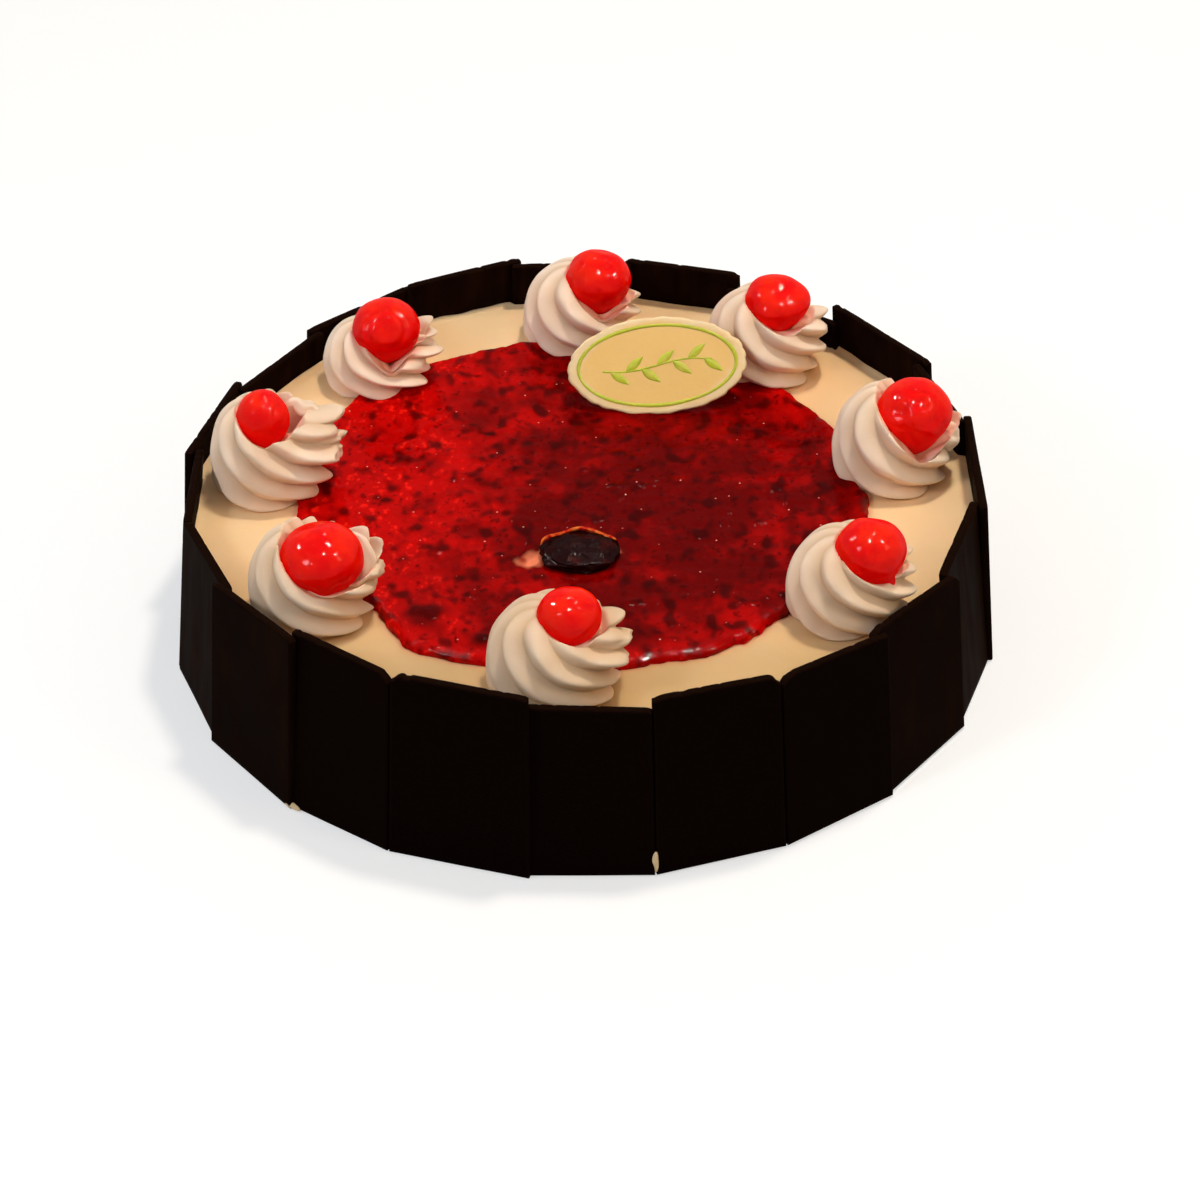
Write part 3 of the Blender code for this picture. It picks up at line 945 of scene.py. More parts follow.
def glaze_outline(degrees):
    """The glaze's edge: soft waves, with small lobes where it ran out over the icing."""
    radius = GLAZE_RADIUS + 0 * degrees
    for waves, swing, peak in GLAZE_WAVES:
        radius = radius + swing * np.cos(np.radians(waves * (degrees - peak)))
    around = np.stack([turned(GLAZE_RADIUS, angle) for angle in np.ravel(degrees)])
    lobes = clouds(around, 9, 21) + 0.5 * clouds(around, 4, 22) + 0.3 * clouds(around, 1.9, 23)
    radius = radius + 1.5 * lobes.reshape(np.shape(degrees))
    radius = radius + 2.4 * hump(turn_between(degrees, -122), 9)
    return radius - 1.6 * hump(turn_between(degrees, -138), 5)


def build_glaze(fruit):
    """A pool with a rounded, slightly beaded rim and lumps of pulp under its skin."""
    floor = node_box("glaze")[0][2]
    cherry_middle, cherry_half = middle_and_half(*node_box("dark_cherry"))
    degrees = round_degrees(GLAZE_SIDES)
    outline = glaze_outline(degrees)
    inside = np.concatenate([GLAZE_RIM_STEPS, np.linspace(4.4, 74.3, 96)])
    shares = 1 - inside[::-1] / 75.0
    radii = shares[:, None] * outline[None, :]
    flat = standing(radii, np.radians(degrees), 0)
    from_edge = outline[None, :] - radii
    near = np.clip(from_edge / GLAZE_RIM_WIDTH, 0, 1)
    rise = fruit.glaze_rise * np.sqrt(1 - (1 - near) ** 2) + 0.22 * hump(from_edge - 2.2, 1.4)
    lumps = clouds(flat, 6.5, 31)
    pulp_lumps = np.maximum(0, clouds(flat, 4.0, 32) - 0.15) + 0.4 * clouds(flat, 2.0, 33)
    ripples = 0.5 * clouds(flat * (0.35, 1.6, 1), 5, 34)
    wrinkled = hump(np.hypot(flat[..., 0] - 12, 1.4 * (flat[..., 1] - 10)), 20)
    ripples = ripples + 1.0 * wrinkled * clouds(flat * (0.3, 1.8, 1), 3.4, 37)
    calm = np.clip(from_edge / 4, 0, 1)
    height = rise + calm * fruit.relief * (lumps + 1.2 * pulp_lumps + ripples)
    from_cherry = np.hypot(
        (flat[..., 0] - cherry_middle[0]) / cherry_half[0],
        (flat[..., 1] - cherry_middle[1]) / cherry_half[1],
    )
    height += 0.35 * hump(from_cherry - 1.02, 0.13)
    torn_at = cherry_middle + (-cherry_half[0] - 1.8, -0.8, 0)
    tear = hump(np.hypot(flat[..., 0] - torn_at[0], 1.2 * (flat[..., 1] - torn_at[1])), 4.2)
    tear *= 0.95 + 0.9 * clouds(flat, 2.4, 35)
    height -= 0.9 * np.clip(tear, 0, 1)
    blot = hump(np.hypot(flat[..., 0] + 39, flat[..., 1] + 53), 5.5)
    blot *= 0.8 + 0.9 * clouds(flat, 4, 36)
    blot += hump(np.hypot(flat[..., 0] + 24, flat[..., 1] + 64), 2.6)
    height += 0.8 * blot * calm
    surface = flat.copy()
    surface[..., 2] = floor - 0.35 + np.maximum(height, 0.05)
    under = flat[-1].copy()
    under[:, 2] = floor - GLAZE_SINK
    rings = np.concatenate([surface, [under]])
    first = np.array([0, 0, surface[0, :, 2].mean()])
    points, faces = closed_rings(rings, first, np.array([0.0, 0.0, floor - GLAZE_SINK]))
    # Painted light and shade: depth is higher in the middle and right of the pool and lower on the
    # left, so the glaze there is coloured darker and lighter. It is also lower near the edge, where
    # the glaze is thin.
    depth = 0.62 + 0.40 * hump(flat[..., 0] - 22, 42) * hump(flat[..., 1] + 6, 46)
    depth -= 0.50 * hump(flat[..., 0] + 55, 30) + 0.30 * hump(from_edge, 6)
    back_lip = hump(from_cherry - 1.0, 0.05) * (flat[..., 1] > cherry_middle[1] + 1)
    torn = np.clip(1.8 * tear - 0.5, 0, 1) + 0.4 * back_lip

    def whole(values):
        """Values for the rings, the ring under them and the two end points."""
        return np.concatenate([values.ravel(), values[-1], [values[0].mean(), 0]])

    marks = {
        "depth": whole(depth),
        "pulp": whole(np.clip(np.maximum(2.2 * (pulp_lumps - 0.26), 1.3 * blot), 0, 0.9)),
        "torn": whole(np.clip(torn, 0, 1)),
        "rim": whole(hump(from_edge - 1.0, 0.9)),
    }
    make_piece("fruit_glaze", points, faces, glaze_material(fruit), "glaze", marks)


# ---------------------------------------------------------------- rosettes

TUCK = math.radians(122)  # a rosette's side runs past its widest point and tucks in
PLUMP = 0.62  # below 1, a rosette's shoulder is fuller than a ball's
BLUNTNESS = 2.8  # how squarely a pulled-out ridge ends
ROSETTE_RINGS, ROSETTE_SIDES = 96, 216
ROSETTE_SINK = 0.3  # how far its foot goes down into the icing
ROSETTE_TALL = {
    "back": 23.0, "back_right": 24.5, "right": 26.0, "front_right": 23.0,
    "front": 24.0, "front_left": 25.0, "left": 26.0, "back_left": 18.5,
}


def rosette_foot(node):
    """Middle and radius of a packed rosette's foot."""
    points = node_points(node)
    foot = points[points[:, 2] < points[:, 2].min() + 0.05]
    low, high = foot.min(0), foot.max(0)
    return (low + high) / 2, (high - low)[:2].mean() / 2


def seated(points, middle, half, taper, lip, notch, relief):
    """Presses cream out of a cherry's place: a bowl under it, low at the front and right."""
    offset = (points - middle) / half
    across = np.hypot(offset[..., 0], offset[..., 1])
    inside = across * (1 + 0.75 * taper)
    bowl = middle[2] - half[2] * np.sqrt(np.clip(1 - inside ** 2, 0, 1)) * 0.94
    azimuth = np.degrees(np.arctan2(offset[..., 1], offset[..., 0]))
    wall = 0.5 + 0.5 * np.cos(np.radians(azimuth - 172))
    lip = lip + notch * (1 - hump(turn_between(azimuth, -84), 34))
    rim = middle[2] + half[2] * ((0.5 - lip) * wall ** 3 + lip) + 1.9 * (relief - 0.6) * (1 - wall)
    rim = rim + 10 * np.maximum(across - 1, 0)
    limit = np.where(across < 1, np.minimum(bowl, rim), rim)
    points[..., 2] = np.minimum(points[..., 2], limit)
    return points


def snapped(rings, middle, azimuth, distance):
    """Cuts off what sticks out further than distance along azimuth, leaving blunt ends."""
    direction = turned(1.0, azimuth)
    beyond = (rings - middle) @ direction - distance
    ragged = 1.1 * clouds(rings, 3.0, 47) + 0.4 * clouds(rings, 1.4, 48)
    return rings - (np.maximum(beyond + ragged, 0) * 0.88)[..., None] * direction


def build_rosette(piping, cream, material):
    """Ridges start at the tip and run round and down, as the turning nozzle laid them."""
    node = "rosette_" + piping.name
    foot, foot_radius = rosette_foot(node)
    seed = 3 + len(piping.name) * 7 + piping.phase
    down = np.linspace(0.02, 1, ROSETTE_RINGS)[:, None]
    degrees = round_degrees(ROSETTE_SIDES)[None, :]
    around = np.radians(degrees)
    fall = TUCK * down
    lowest = math.cos(TUCK)
    tall = ROSETTE_TALL[piping.name] * 0.94
    height = tall * (np.cos(fall) - lowest) / (1 - lowest) + 0 * degrees
    radius = 1.05 * foot_radius * np.sin(fall) ** PLUMP + 0 * degrees
    flat = standing(radius, around, height)
    sway = 5 * clouds(flat, 15, seed) + 1.5 * clouds(flat, 5, seed + 1)
    turn = math.degrees(cream.twist) * down ** 1.5 * (1 + 0.32 * np.cos(around))
    phase = np.radians(cream.ridges * (degrees - turn + piping.phase + sway))
    across_ridge = (phase / math.pi) % 2 - 1
    tube = np.sqrt(1 - (0.98 * across_ridge) ** 2)
    wave = 0.5 + 0.5 * np.cos(math.pi * across_ridge)
    crest = 0.30 * tube + 0.45 * wave + 0.25 * (1 - np.abs(across_ridge))
    groove = cream.groove * (0.30 + 0.70 * np.clip(down * 2.2, 0, 1)) * np.sin(fall) ** 0.5
    uneven = 1 + 0.25 * clouds(flat, 9, seed + 2)
    radius = radius - groove * uneven * (1 - crest)
    radius = radius + 0.4 * clouds(flat, 7, seed + 3)
    for azimuth, level, reach, width in piping.flicks:
        away = turn_between(degrees, azimuth)
        pull = hump(away, width) * hump(down - level - 0.0012 * away, 0.075) * crest ** 0.3
        pull = reach * np.tanh(BLUNTNESS * pull) / math.tanh(BLUNTNESS)
        radius = radius + pull
        height = height + 0.22 * pull
    radius = radius + 0.5 * hump(down - 0.93, 0.06) * crest
    lean = (height / tall) ** 5
    rings = np.stack([
        foot[0] + radius * np.cos(around) + piping.tip[0] * lean,
        foot[1] + radius * np.sin(around) + piping.tip[1] * lean,
        foot[2] - ROSETTE_SINK + height,
    ], axis=-1)
    rings = snapped(rings, foot, piping.cut[0], foot_radius + piping.cut[1])
    base = foot - (0, 0, ROSETTE_SINK)
    points, faces = closed_rings(rings, base + (*piping.tip, tall), base)
    cherry_middle, cherry_half = middle_and_half(*cherry_box(piping.name))
    relief = np.concatenate([crest.ravel(), [0.5, 0.5]])
    taper = next(fruit.taper for fruit in FRUITS if fruit.name == piping.name)
    points = seated(
        points, cherry_middle, cherry_half, taper, piping.lip, piping.notch, relief,
    )
    near = np.linalg.norm((points - cherry_middle) / cherry_half, axis=1)
    below = np.clip((cherry_middle[2] - points[:, 2]) / cherry_half[2], 0, 1)
    streaks = 0.75 + 0.9 * clouds(points * (1, 1, 0.4), 2.2, seed + 6)
    spread = 0.09 + 0.22 * piping.stain * below * np.clip(streaks, 0, 1.4)
    stain = (0.2 + 0.6 * piping.stain) * hump(np.maximum(near - 1.0, 0), spread)
    wet = np.hypot(points[:, 0], points[:, 1]) < GLAZE_RADIUS
    stain += 0.4 * wet * hump(points[:, 2] - foot[2], 2.2)
    stain = np.clip(stain, 0, 0.9)
    # Painted shade, darkest down in the grooves between the ridges, and each rosette's share of the
    # painted shade at the front.
    fold = np.concatenate([(0.7 * (1 - crest) ** 1.4).ravel(), [0, 0]])
    marks = {"stain": stain, "fold": fold, "shade": np.full(len(points), piping.shade)}
    make_piece("piped_" + piping.name, points, faces, material, node, marks)
    if piping.name in CURLS:
        curl = CURLS[piping.name]
        build_strand("curl_" + piping.name, curl, cherry_middle, material, seed)


def smooth_path(stops, count):
    """Points of a smooth curve through stops; every column is carried along."""
    stops = np.asarray(stops, dtype=float)
    before = np.vstack([2 * stops[0] - stops[1], stops, 2 * stops[-1] - stops[-2]])
    path = []
    for place_at in np.linspace(0, len(stops) - 1.0001, count):
        step = int(place_at)
        share = place_at - step
        a, b, c, d = before[step:step + 4]
        path.append(0.5 * (
            2 * b + (c - a) * share + (2 * a - 5 * b + 4 * c - d) * share ** 2
            + (3 * b - a - 3 * c + d) * share ** 3
        ))
    return np.array(path)


def build_strand(name, stops, origin, material, seed):
    """A drawn-out strand with soft ridges along it, through stops measured from origin."""
    path = smooth_path(stops, 44)
    line, thick = path[:, :3], path[:, 3]
    forward = np.gradient(line, axis=0)
    forward /= np.linalg.norm(forward, axis=1)[:, None]
    sideways = np.cross(forward, (0.2, 1.0, 0.1))
    sideways /= np.linalg.norm(sideways, axis=1)[:, None]
    outwards = np.cross(sideways, forward)
    angle = np.radians(np.arange(28) * 360 / 28)
    bulge = 1 + 0.16 * np.cos(3 * angle)[None, :]
    ends = np.sqrt(np.clip(1 - np.abs(np.linspace(-1, 1, len(line))) ** 8, 0.02, 1))
    reach = (thick * ends)[:, None] * bulge
    rings = (
        origin + line[:, None, :]
        + (reach * np.cos(angle))[..., None] * sideways[:, None, :]
        + (reach * np.sin(angle))[..., None] * outwards[:, None, :]
    )
    waver = 0.22 * thick[:, None] * clouds(rings, 2.6, seed + 5)
    rings = rings + waver[..., None] * sideways[:, None, :]
    points, faces = closed_rings(rings, origin + line[0], origin + line[-1])
    make_piece(name, points, faces, material, None, {"stain": 0 * points[:, 0]})


# ---------------------------------------------------------------- cherries

CHERRY_RISE = 1.2  # how much taller than its packed node a cherry is
# How much lower some cherries' undersides reach, down into their cream.
CHERRY_DROP = {"back": 1.4, "back_right": 1.0, "right": 2.6, "back_left": 2.8}
CHERRY_RINGS, CHERRY_SIDES = 52, 84


def unit_sphere(rings, sides):
    """Rings of a unit sphere without its poles, from top to bottom."""
    down = (np.arange(1, rings) * math.pi / rings)[:, None]
    around = (np.arange(sides) * 2 * math.pi / sides)[None, :]
    return np.stack([
        np.sin(down) * np.cos(around), np.sin(down) * np.sin(around), np.cos(down) + 0 * around,
    ], axis=-1)


def cherry_surface(unit, fruit_shape, seed):
    """A unit sphere pressed into a candied cherry's shape."""
    swell = 1 + fruit_shape.wrinkle * (
        1.5 * clouds(unit, 0.9, seed) + 0.8 * clouds(unit, 0.42, seed + 1)
    )
    for azimuth, elevation, depth, width, ring in fruit_shape.marks:
        middle = turned(
            math.cos(math.radians(elevation)), azimuth, math.sin(math.radians(elevation)),
        )
        away = np.degrees(np.arccos(np.clip(unit @ middle, -1, 1)))
        swell = swell - depth * hump(away - ring, width)
    shape = unit * swell[..., None]
    narrow = 1 - fruit_shape.taper * np.clip(0.2 - unit[..., 2], 0, 1.2) ** 1.2
    shape[..., :2] *= narrow[..., None]
    return shape


def cherry_box(name):
    """A cherry's place: its packed node's box, drawn up as far as the packed model is tall."""
    low, high = node_box("cherry_" + name)
    high[2] = min(high[2] + CHERRY_RISE, CAD_BOX[1][2] / MM)
    low[2] += 0.5 * CHERRY_RISE - CHERRY_DROP.get(name, 0.0)
    return low, high


def build_cherry(fruit_shape, material):
    node = "cherry_" + fruit_shape.name
    low, high = cherry_box(fruit_shape.name)
    seed = 60 + 3 * len(fruit_shape.name)
    unit = unit_sphere(CHERRY_RINGS, CHERRY_SIDES)
    poles = np.array([[[0, 0, 1.0]], [[0, 0, -1.0]]])
    shape = cherry_surface(unit, fruit_shape, seed)
    ends = cherry_surface(poles, fruit_shape, seed)
    everything = np.concatenate([shape.reshape(-1, 3), ends.reshape(-1, 3)])
    limits = everything.min(0), everything.max(0)
    rings, ends = (fitted(part, low, high, *limits) for part in (shape, ends))
    points, faces = closed_rings(rings, ends[0, 0], ends[1, 0])
    # Painted light: the lit mark rises towards the cherry's top, where its colour turns orange.
    level = (points[:, 2] - low[2]) / (high - low)[2]
    make_piece(
        "candied_" + fruit_shape.name, points, faces, material, node,
        {"lit": np.clip(1.6 * (level - 0.45), 0, 1)},
    )


def build_dark_cherry(fruit, material, glaze):
    """A stewed cherry: flattened, torn and wrinkled, with the glaze pulled up along its back."""
    low, high = node_box("dark_cherry")
    middle, half = middle_and_half(low, high)
    unit = unit_sphere(64, 128)
    lumps = 1 + 0.16 * clouds(unit, 0.62, 81) + 0.07 * clouds(unit, 0.28, 82)
    folds = 0.07 * np.maximum(0, clouds(unit * (1.6, 1, 1), 0.22, 83) - 0.05)
    shape = unit * (lumps - folds)[..., None]
    shape[..., 2] = np.sign(shape[..., 2]) * np.abs(shape[..., 2]) ** 0.9
    shape[..., 2] += 0.10 * clouds(unit, 0.30, 84) * (unit[..., 2] > -0.2)
    rings = fitted(shape, low, high, shape.min((0, 1)), shape.max((0, 1)))
    points, faces = closed_rings(rings, rings[0].mean(0), rings[-1].mean(0))
    make_piece("bedded_cherry", points, faces, material, "dark_cherry")
    stops = []
    for azimuth in np.linspace(20, 172, 12):
        spot = middle + turned(1.0, azimuth) * half * 0.97
        spot[2] = middle[2] + 1.2 + 0.5 * math.sin(azimuth * 0.09)
        stops.append((*(spot - middle), 0.26 + 0.22 * math.sin(math.radians(azimuth))))
    build_strand("glaze_lip", stops, middle, glaze, 84)


# ---------------------------------------------------------------- plaque

PLAQUE_SIDES = 240
# Its section from the face round the edge to the back: shares of half its width and thickness.
PLAQUE_EDGE = [
    (0.95, 1.0), (0.975, 0.97), (0.992, 0.75), (1.0, 0.1),
    (0.995, -0.5), (0.97, -0.9), (0.9, -1.0), (0.4, -1.0),
]
# A line of paint's section: shares of half its width, and heights from the face.
PAINT_SECTION = (
    (-1.0, -0.10), (-0.75, 0.10), (0.0, 0.16), (0.75, 0.10), (1.0, -0.10), (0.0, -0.2),
)


def plaque_frame():
    """The plaque's middle, its directions across, up and out of its face, and half sizes."""
    points = node_points("plaque")
    middle = (points.min(0) + points.max(0)) / 2
    vectors = np.linalg.eigh(np.cov((points - middle).T))[1]
    facing = vectors[:, 0] * np.sign(vectors[2, 0])
    across = vectors[:, 2] * np.sign(vectors[0, 2])
    upwards = np.cross(facing, across)
    directions = np.stack([across, upwards, facing])
    local = (points - middle) @ directions.T
    return middle, directions, (local.max(0) - local.min(0)) / 2


def on_plaque(plate, across, upwards, out):
    middle, directions, half = plate
    return (
        middle + np.asarray(across)[..., None] * directions[0]
        + np.asarray(upwards)[..., None] * directions[1]
        + np.asarray(out)[..., None] * directions[2]
    )


def build_plaque(material):
    """A cast oval with a rough scalloped edge and a slightly dished face."""
    plate = plaque_frame()
    half = plate[2]
    angle = np.arange(PLAQUE_SIDES) * 2 * math.pi / PLAQUE_SIDES
    ring = np.stack([np.cos(angle), np.sin(angle), 0 * angle], axis=-1)
    facets = np.abs(np.sin(9.5 * angle + 2.5 * clouds(ring, 0.7, 90)))
    outline = 0.968 + 0.016 * facets
    outline = outline + 0.014 * clouds(ring, 0.30, 91) + 0.016 * clouds(ring, 0.10, 92)
    face = [(share, 1.0) for share in np.linspace(0.04, 0.90, 26)]
    rings, rims = [], []
    for share, level in face + PLAQUE_EDGE:
        reach = share * outline if share > 0.6 else share * (1 + 0 * outline)
        across = reach * half[0] * np.cos(angle)
        upwards = reach * half[1] * np.sin(angle)
        spot = np.stack([across, upwards, 0 * across], axis=-1)
        dish = 0.10 * clouds(spot, 9, 93) - 0.12
        out = half[2] * level + (dish if level > 0.9 else 0)
        rings.append(on_plaque(plate, across, upwards, np.minimum(out, half[2])))
        rims.append(np.full(PLAQUE_SIDES, max(0.0, (share - 0.72) / 0.26)))
    rings = np.array(rings)
    first = on_plaque(plate, 0.0, 0.0, half[2] - 0.12)
    last = on_plaque(plate, 0.0, 0.0, -half[2])
    points, faces = closed_rings(rings, first, last)
    rim = np.concatenate([np.array(rims).ravel(), [0, 1]])
    make_piece("plaque_plate", points, faces, material, "plaque", {"rim": rim})
    return plate


def painted_strip(name, plate, centre_line, half_width, closed, material):
    """A thin raised line of paint that follows points on the plaque's face."""
    line = np.asarray(centre_line, dtype=float)
    if closed:
        forward = np.roll(line, -1, 0) - np.roll(line, 1, 0)
    else:
        forward = np.gradient(line, axis=0)
    forward /= np.linalg.norm(forward, axis=1)[:, None]
    sideways = np.stack([-forward[:, 1], forward[:, 0]], axis=1)
    widths = np.broadcast_to(half_width, len(line))
    face = plate[2][2] - 0.10
    rings = np.array([
        [
            on_plaque(plate, *(spot + side * width * across), face + rise)
            for side, rise in PAINT_SECTION
        ]
        for spot, across, width in zip(line, sideways, widths)
    ])
    count, sides = rings.shape[:2]
    faces = ring_faces(count, sides)
    if closed:
        last = (count - 1) * sides
        for side in range(sides):
            following = (side + 1) % sides
            faces.append((last + side, last + following, following, side))
    else:
        faces.append(tuple(range(sides))[::-1])
        faces.append(tuple((count - 1) * sides + side for side in range(sides)))
    make_piece(name, rings.reshape(-1, 3), faces, material, None)


def build_painting(settings, plate, material):
    """An oval ring with a leafy sprig in it."""
    half = plate[2]
    angle = np.linspace(0, 2 * math.pi, 160, endpoint=False)
    oval = np.stack([0.865 * half[0] * np.cos(angle), 0.80 * half[1] * np.sin(angle)], axis=1)
    waver = 0.5 * settings.line * (1 + 0.25 * np.sin(5 * angle) * np.sin(2 * angle + 1))
    painted_strip("painted_ring", plate, oval, waver, True, material)
    along = np.linspace(-1, 1, 40)
    reach = 0.60 * half[0]
    stem = np.stack([reach * along, 1.2 * np.sin(2.6 * along)], axis=1)
    painted_strip("painted_stem", plate, stem, 0.28, False, material)
    leaf_length, leaf_half_width = 6.2, 1.25
    shares = np.linspace(0, 1, 16)
    leaf = leaf_half_width * np.sin(math.pi * shares ** 0.8) + 0.05
    for number, start in enumerate(np.linspace(-0.86, 0.86, 7)):
        root = np.array([reach * start, 1.2 * math.sin(2.6 * start)])
        tilt = math.radians(38 if number % 2 else -38)
        direction = np.array([math.cos(tilt), math.sin(tilt)])
        line = root + shares[:, None] * leaf_length * direction
        painted_strip(f"painted_leaf_{number + 1}", plate, line, leaf, False, material)


# ---------------------------------------------------------------- stage

AIM = (0.0, 0.0, 0.04)  # what the lamps point at, in metres
# The lit lamps: name, place, size, setting of its power, share of it, and colour.
LAMPS = (
    ("key", (0.24, 0.20, 1.22), 0.14, "key", 1.0, (1.0, 0.90, 0.76)),
    ("fill", (-0.75, -0.60, 0.78), 0.20, "fill", 1.0, (0.82, 0.88, 1.0)),
    ("warm_side", (0.88, -0.42, 0.72), 0.30, "fill", 0.6, (1.0, 0.76, 0.46)),
)
# The lamps that only show in wet surfaces: places in metres, and shares of their power.
SPARKLES = (
    ((0.0, -0.42, 1.15), 1.0), ((-0.85, 0.33, 0.85), 1.0), ((0.62, -0.30, 0.95), 0.7),
    ((0.06, 0.75, 1.15), 0.10),
)
SPARKLE_SIZE = 0.12
SPARKLE_COLOUR = (1.0, 0.95, 0.88)
FLOOR_HALF = 6.0
FLOOR_DROP = 0.0004  # the floor lies this far under the cake, so that they don't share a plane
FLOOR_GLOW = 0.52
CAMERA_PLACE = (0.0174, -0.7417, 0.5419)
CAMERA_YAW, CAMERA_PITCH, CAMERA_ROLL = 1.03, 35.9, -0.63  # in degrees; pitch is downwards


def add_lamp(name, place_at, size, power, colour):
    lamp = bpy.data.lights.new(name, "AREA")
    lamp.shape = "DISK"
    lamp.size = size
    lamp.energy = power
    lamp.color = colour
    holder = bpy.data.objects.new(name, lamp)
    holder.location = place_at
    holder.rotation_euler = (Vector(AIM) - Vector(place_at)).to_track_quat("-Z", "Y").to_euler()
    bpy.context.scene.collection.objects.link(holder)
    return holder


def seen_directly(tree):
    """1 for what the camera or a mirror-like surface sees, 0 for light on the object."""
    path = add_node(tree, "ShaderNodeLightPath")
    seen = calculate(tree, "MAXIMUM", path.outputs["Is Camera Ray"], path.outputs["Is Glossy Ray"])
    return calculate(tree, "MAXIMUM", seen, path.outputs["Is Transmission Ray"])


def build_floor():
    """A plain pale floor that keeps the cake's shadow."""
    mesh = bpy.data.meshes.new("floor")
    corners = [(x * FLOOR_HALF, y * FLOOR_HALF, 0) for x, y in ((-1, -1), (1, -1), (1, 1), (-1, 1))]
    mesh.from_pydata(corners, [], [(0, 1, 2, 3)])
    material, tree, shader = new_material("floor", Roughness=0.9, Specular_IOR_Level=0.0)
    shader.inputs["Base Color"].default_value = (0.55, 0.55, 0.55, 1)
    shader.inputs["Emission Color"].default_value = (1, 1, 1, 1)
    glow = calculate(tree, "MULTIPLY", seen_directly(tree), FLOOR_GLOW)
    tree.links.new(glow, shader.inputs["Emission Strength"])
    mesh.materials.append(material)
    floor = bpy.data.objects.new("floor", mesh)
    floor.location.z = -FLOOR_DROP
    bpy.context.scene.collection.objects.link(floor)


def build_world(strength):
    world = bpy.data.worlds.new("studio")
    world.use_nodes = True
    tree = world.node_tree
    sky = tree.nodes["Background"]
    sky.inputs["Color"].default_value = (1, 1, 1, 1)
    level = add_node(
        tree,
        "ShaderNodeMapRange",
        inputs={"Value": seen_directly(tree), "To Min": strength, "To Max": 1.0},
    )
    tree.links.new(level.outputs["Result"], sky.inputs["Strength"])
    bpy.context.scene.world = world


def build_camera(lens):
    """Looks down at the cake from the front, very slightly turned and tilted."""
    data = bpy.data.cameras.new("camera")
    data.sensor_width = 36
    data.lens = lens
    data.clip_start = 0.01
    camera = bpy.data.objects.new("camera", data)
    stand = Matrix.Translation(CAMERA_PLACE)
    yaw = Matrix.Rotation(math.radians(CAMERA_YAW), 4, "Z")
    pitch = Matrix.Rotation(math.radians(90 - CAMERA_PITCH), 4, "X")
    roll = Matrix.Rotation(math.radians(CAMERA_ROLL), 4, "Z")
    camera.matrix_world = stand @ yaw @ pitch @ roll
    bpy.context.scene.collection.objects.link(camera)
    bpy.context.scene.camera = camera


# ---------------------------------------------------------------- operators

class BLACKFOREST_OT_ice_cake(bpy.types.Operator):
    """Spread the icing over the cake, out to the collar"""

    bl_idname = "black_forest.ice_cake"
    bl_label = "Ice the Cake"

    def execute(self, context):
        build_icing(context.scene.cake_cream)
        return {"FINISHED"}


class BLACKFOREST_OT_set_collar(bpy.types.Operator):
    """Stand the chipped chocolate panels round the cake"""

    bl_idname = "black_forest.set_collar"
    bl_label = "Set the Collar"

    def execute(self, context):
        chocolate = context.scene.cake_chocolate
        material = chocolate_material(chocolate)
        panels = sorted(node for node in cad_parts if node.startswith("panel_"))
        for index, node in enumerate(panels):
            build_panel(index, node, chocolate, material)
        return {"FINISHED"}


class BLACKFOREST_OT_pour_glaze(bpy.types.Operator):
    """Pour the fruit glaze over the middle of the icing"""

    bl_idname = "black_forest.pour_glaze"
    bl_label = "Pour the Glaze"

    def execute(self, context):
        build_glaze(context.scene.cake_fruit)
        return {"FINISHED"}


class BLACKFOREST_OT_pipe_rosettes(bpy.types.Operator):
    """Pipe the ring of twisted rosettes"""

    bl_idname = "black_forest.pipe_rosettes"
    bl_label = "Pipe the Rosettes"

    def execute(self, context):
        cream = context.scene.cake_cream
        material = piped_material(cream)
        for piping in PIPINGS:
            build_rosette(piping, cream, material)
        return {"FINISHED"}


class BLACKFOREST_OT_place_cherries(bpy.types.Operator):
    """Set a candied cherry on each rosette and bed the dark one in the glaze"""

    bl_idname = "black_forest.place_cherries"
    bl_label = "Place the Cherries"

    def execute(self, context):
        fruit = context.scene.cake_fruit
        material = cherry_material(fruit)
        for fruit_shape in FRUITS:
            build_cherry(fruit_shape, material)
        build_dark_cherry(fruit, dark_cherry_material(fruit), lip_material(fruit))
        return {"FINISHED"}


class BLACKFOREST_OT_stand_plaque(bpy.types.Operator):
    """Stand the painted plaque in the glaze"""

    bl_idname = "black_forest.stand_plaque"
    bl_label = "Stand the Plaque"

    def execute(self, context):
        settings = context.scene.cake_plaque
        plate = build_plaque(white_chocolate_material(settings))
        build_painting(settings, plate, paint_material(settings))
        return {"FINISHED"}


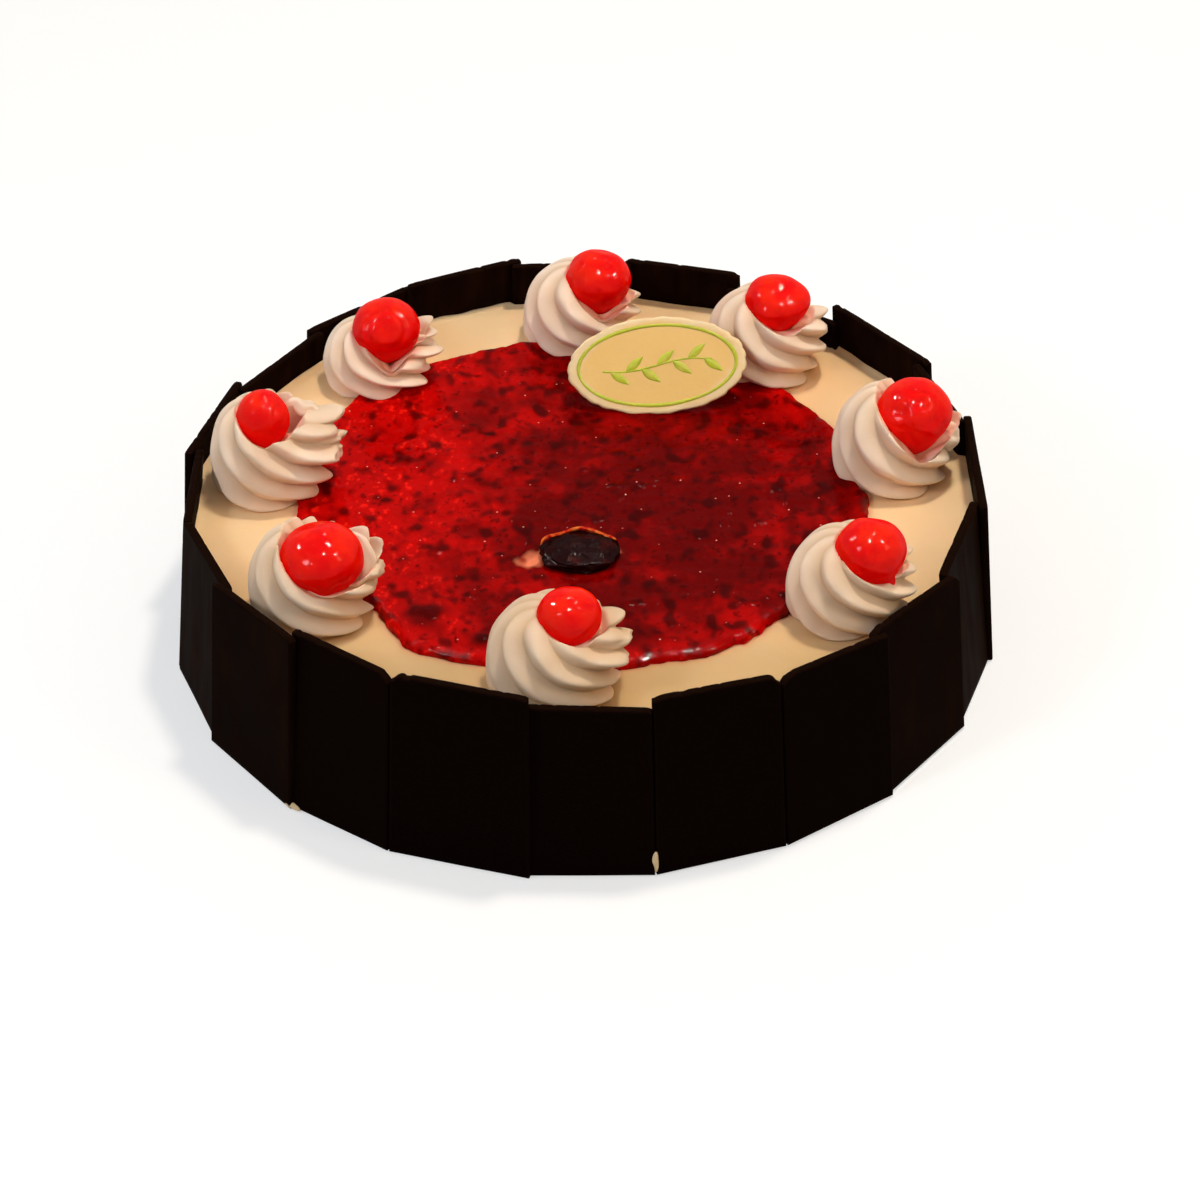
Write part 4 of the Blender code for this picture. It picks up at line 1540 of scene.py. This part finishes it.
class BLACKFOREST_OT_set_stage(bpy.types.Operator):
    """Set up the floor, the room, the lamps and the camera"""

    bl_idname = "black_forest.set_stage"
    bl_label = "Set the Stage"

    def execute(self, context):
        stage = context.scene.cake_stage
        context.scene.view_settings.view_transform = "Standard"
        build_floor()
        build_world(stage.room)
        for name, spot, size, setting, share, colour in LAMPS:
            add_lamp(name, spot, size, getattr(stage, setting) * share, colour)
        for number, (spot, share) in enumerate(SPARKLES):
            power = stage.sparkle * share
            lamp = add_lamp(f"sparkle_{number + 1}", spot, SPARKLE_SIZE, power, SPARKLE_COLOUR)
            lamp.visible_diffuse = False
        build_camera(stage.lens)
        return {"FINISHED"}


class BLACKFOREST_PT_cake(bpy.types.Panel):
    """Lists the cake's steps and settings"""

    bl_label = "Black Forest Cake"
    bl_space_type = "VIEW_3D"
    bl_region_type = "UI"
    bl_category = "Cake"

    def draw(self, context):
        for step in STEPS:
            self.layout.operator(step.bl_idname)
        for attribute, group in SETTINGS.items():
            box = self.layout.box()
            box.label(text=group.__doc__)
            for name in group.__annotations__:
                box.prop(getattr(context.scene, attribute), name)


SETTINGS = {
    "cake_cream": CreamSettings,
    "cake_chocolate": ChocolateSettings,
    "cake_fruit": FruitSettings,
    "cake_plaque": PlaqueSettings,
    "cake_stage": StageSettings,
}
STEPS = (
    BLACKFOREST_OT_ice_cake,
    BLACKFOREST_OT_set_collar,
    BLACKFOREST_OT_pour_glaze,
    BLACKFOREST_OT_pipe_rosettes,
    BLACKFOREST_OT_place_cherries,
    BLACKFOREST_OT_stand_plaque,
    BLACKFOREST_OT_set_stage,
)


def register():
    for group in SETTINGS.values():
        bpy.utils.register_class(group)
    for attribute, group in SETTINGS.items():
        setattr(bpy.types.Scene, attribute, PointerProperty(type=group))
    for step in STEPS:
        bpy.utils.register_class(step)
    bpy.utils.register_class(BLACKFOREST_PT_cake)


def unregister():
    bpy.utils.unregister_class(BLACKFOREST_PT_cake)
    for step in reversed(STEPS):
        bpy.utils.unregister_class(step)
    for attribute, group in SETTINGS.items():
        delattr(bpy.types.Scene, attribute)
        bpy.utils.unregister_class(group)


def main():
    register()
    for step in STEPS:
        group, name = step.bl_idname.split(".")
        getattr(getattr(bpy.ops, group), name)()


if __name__ == "__main__":
    main()
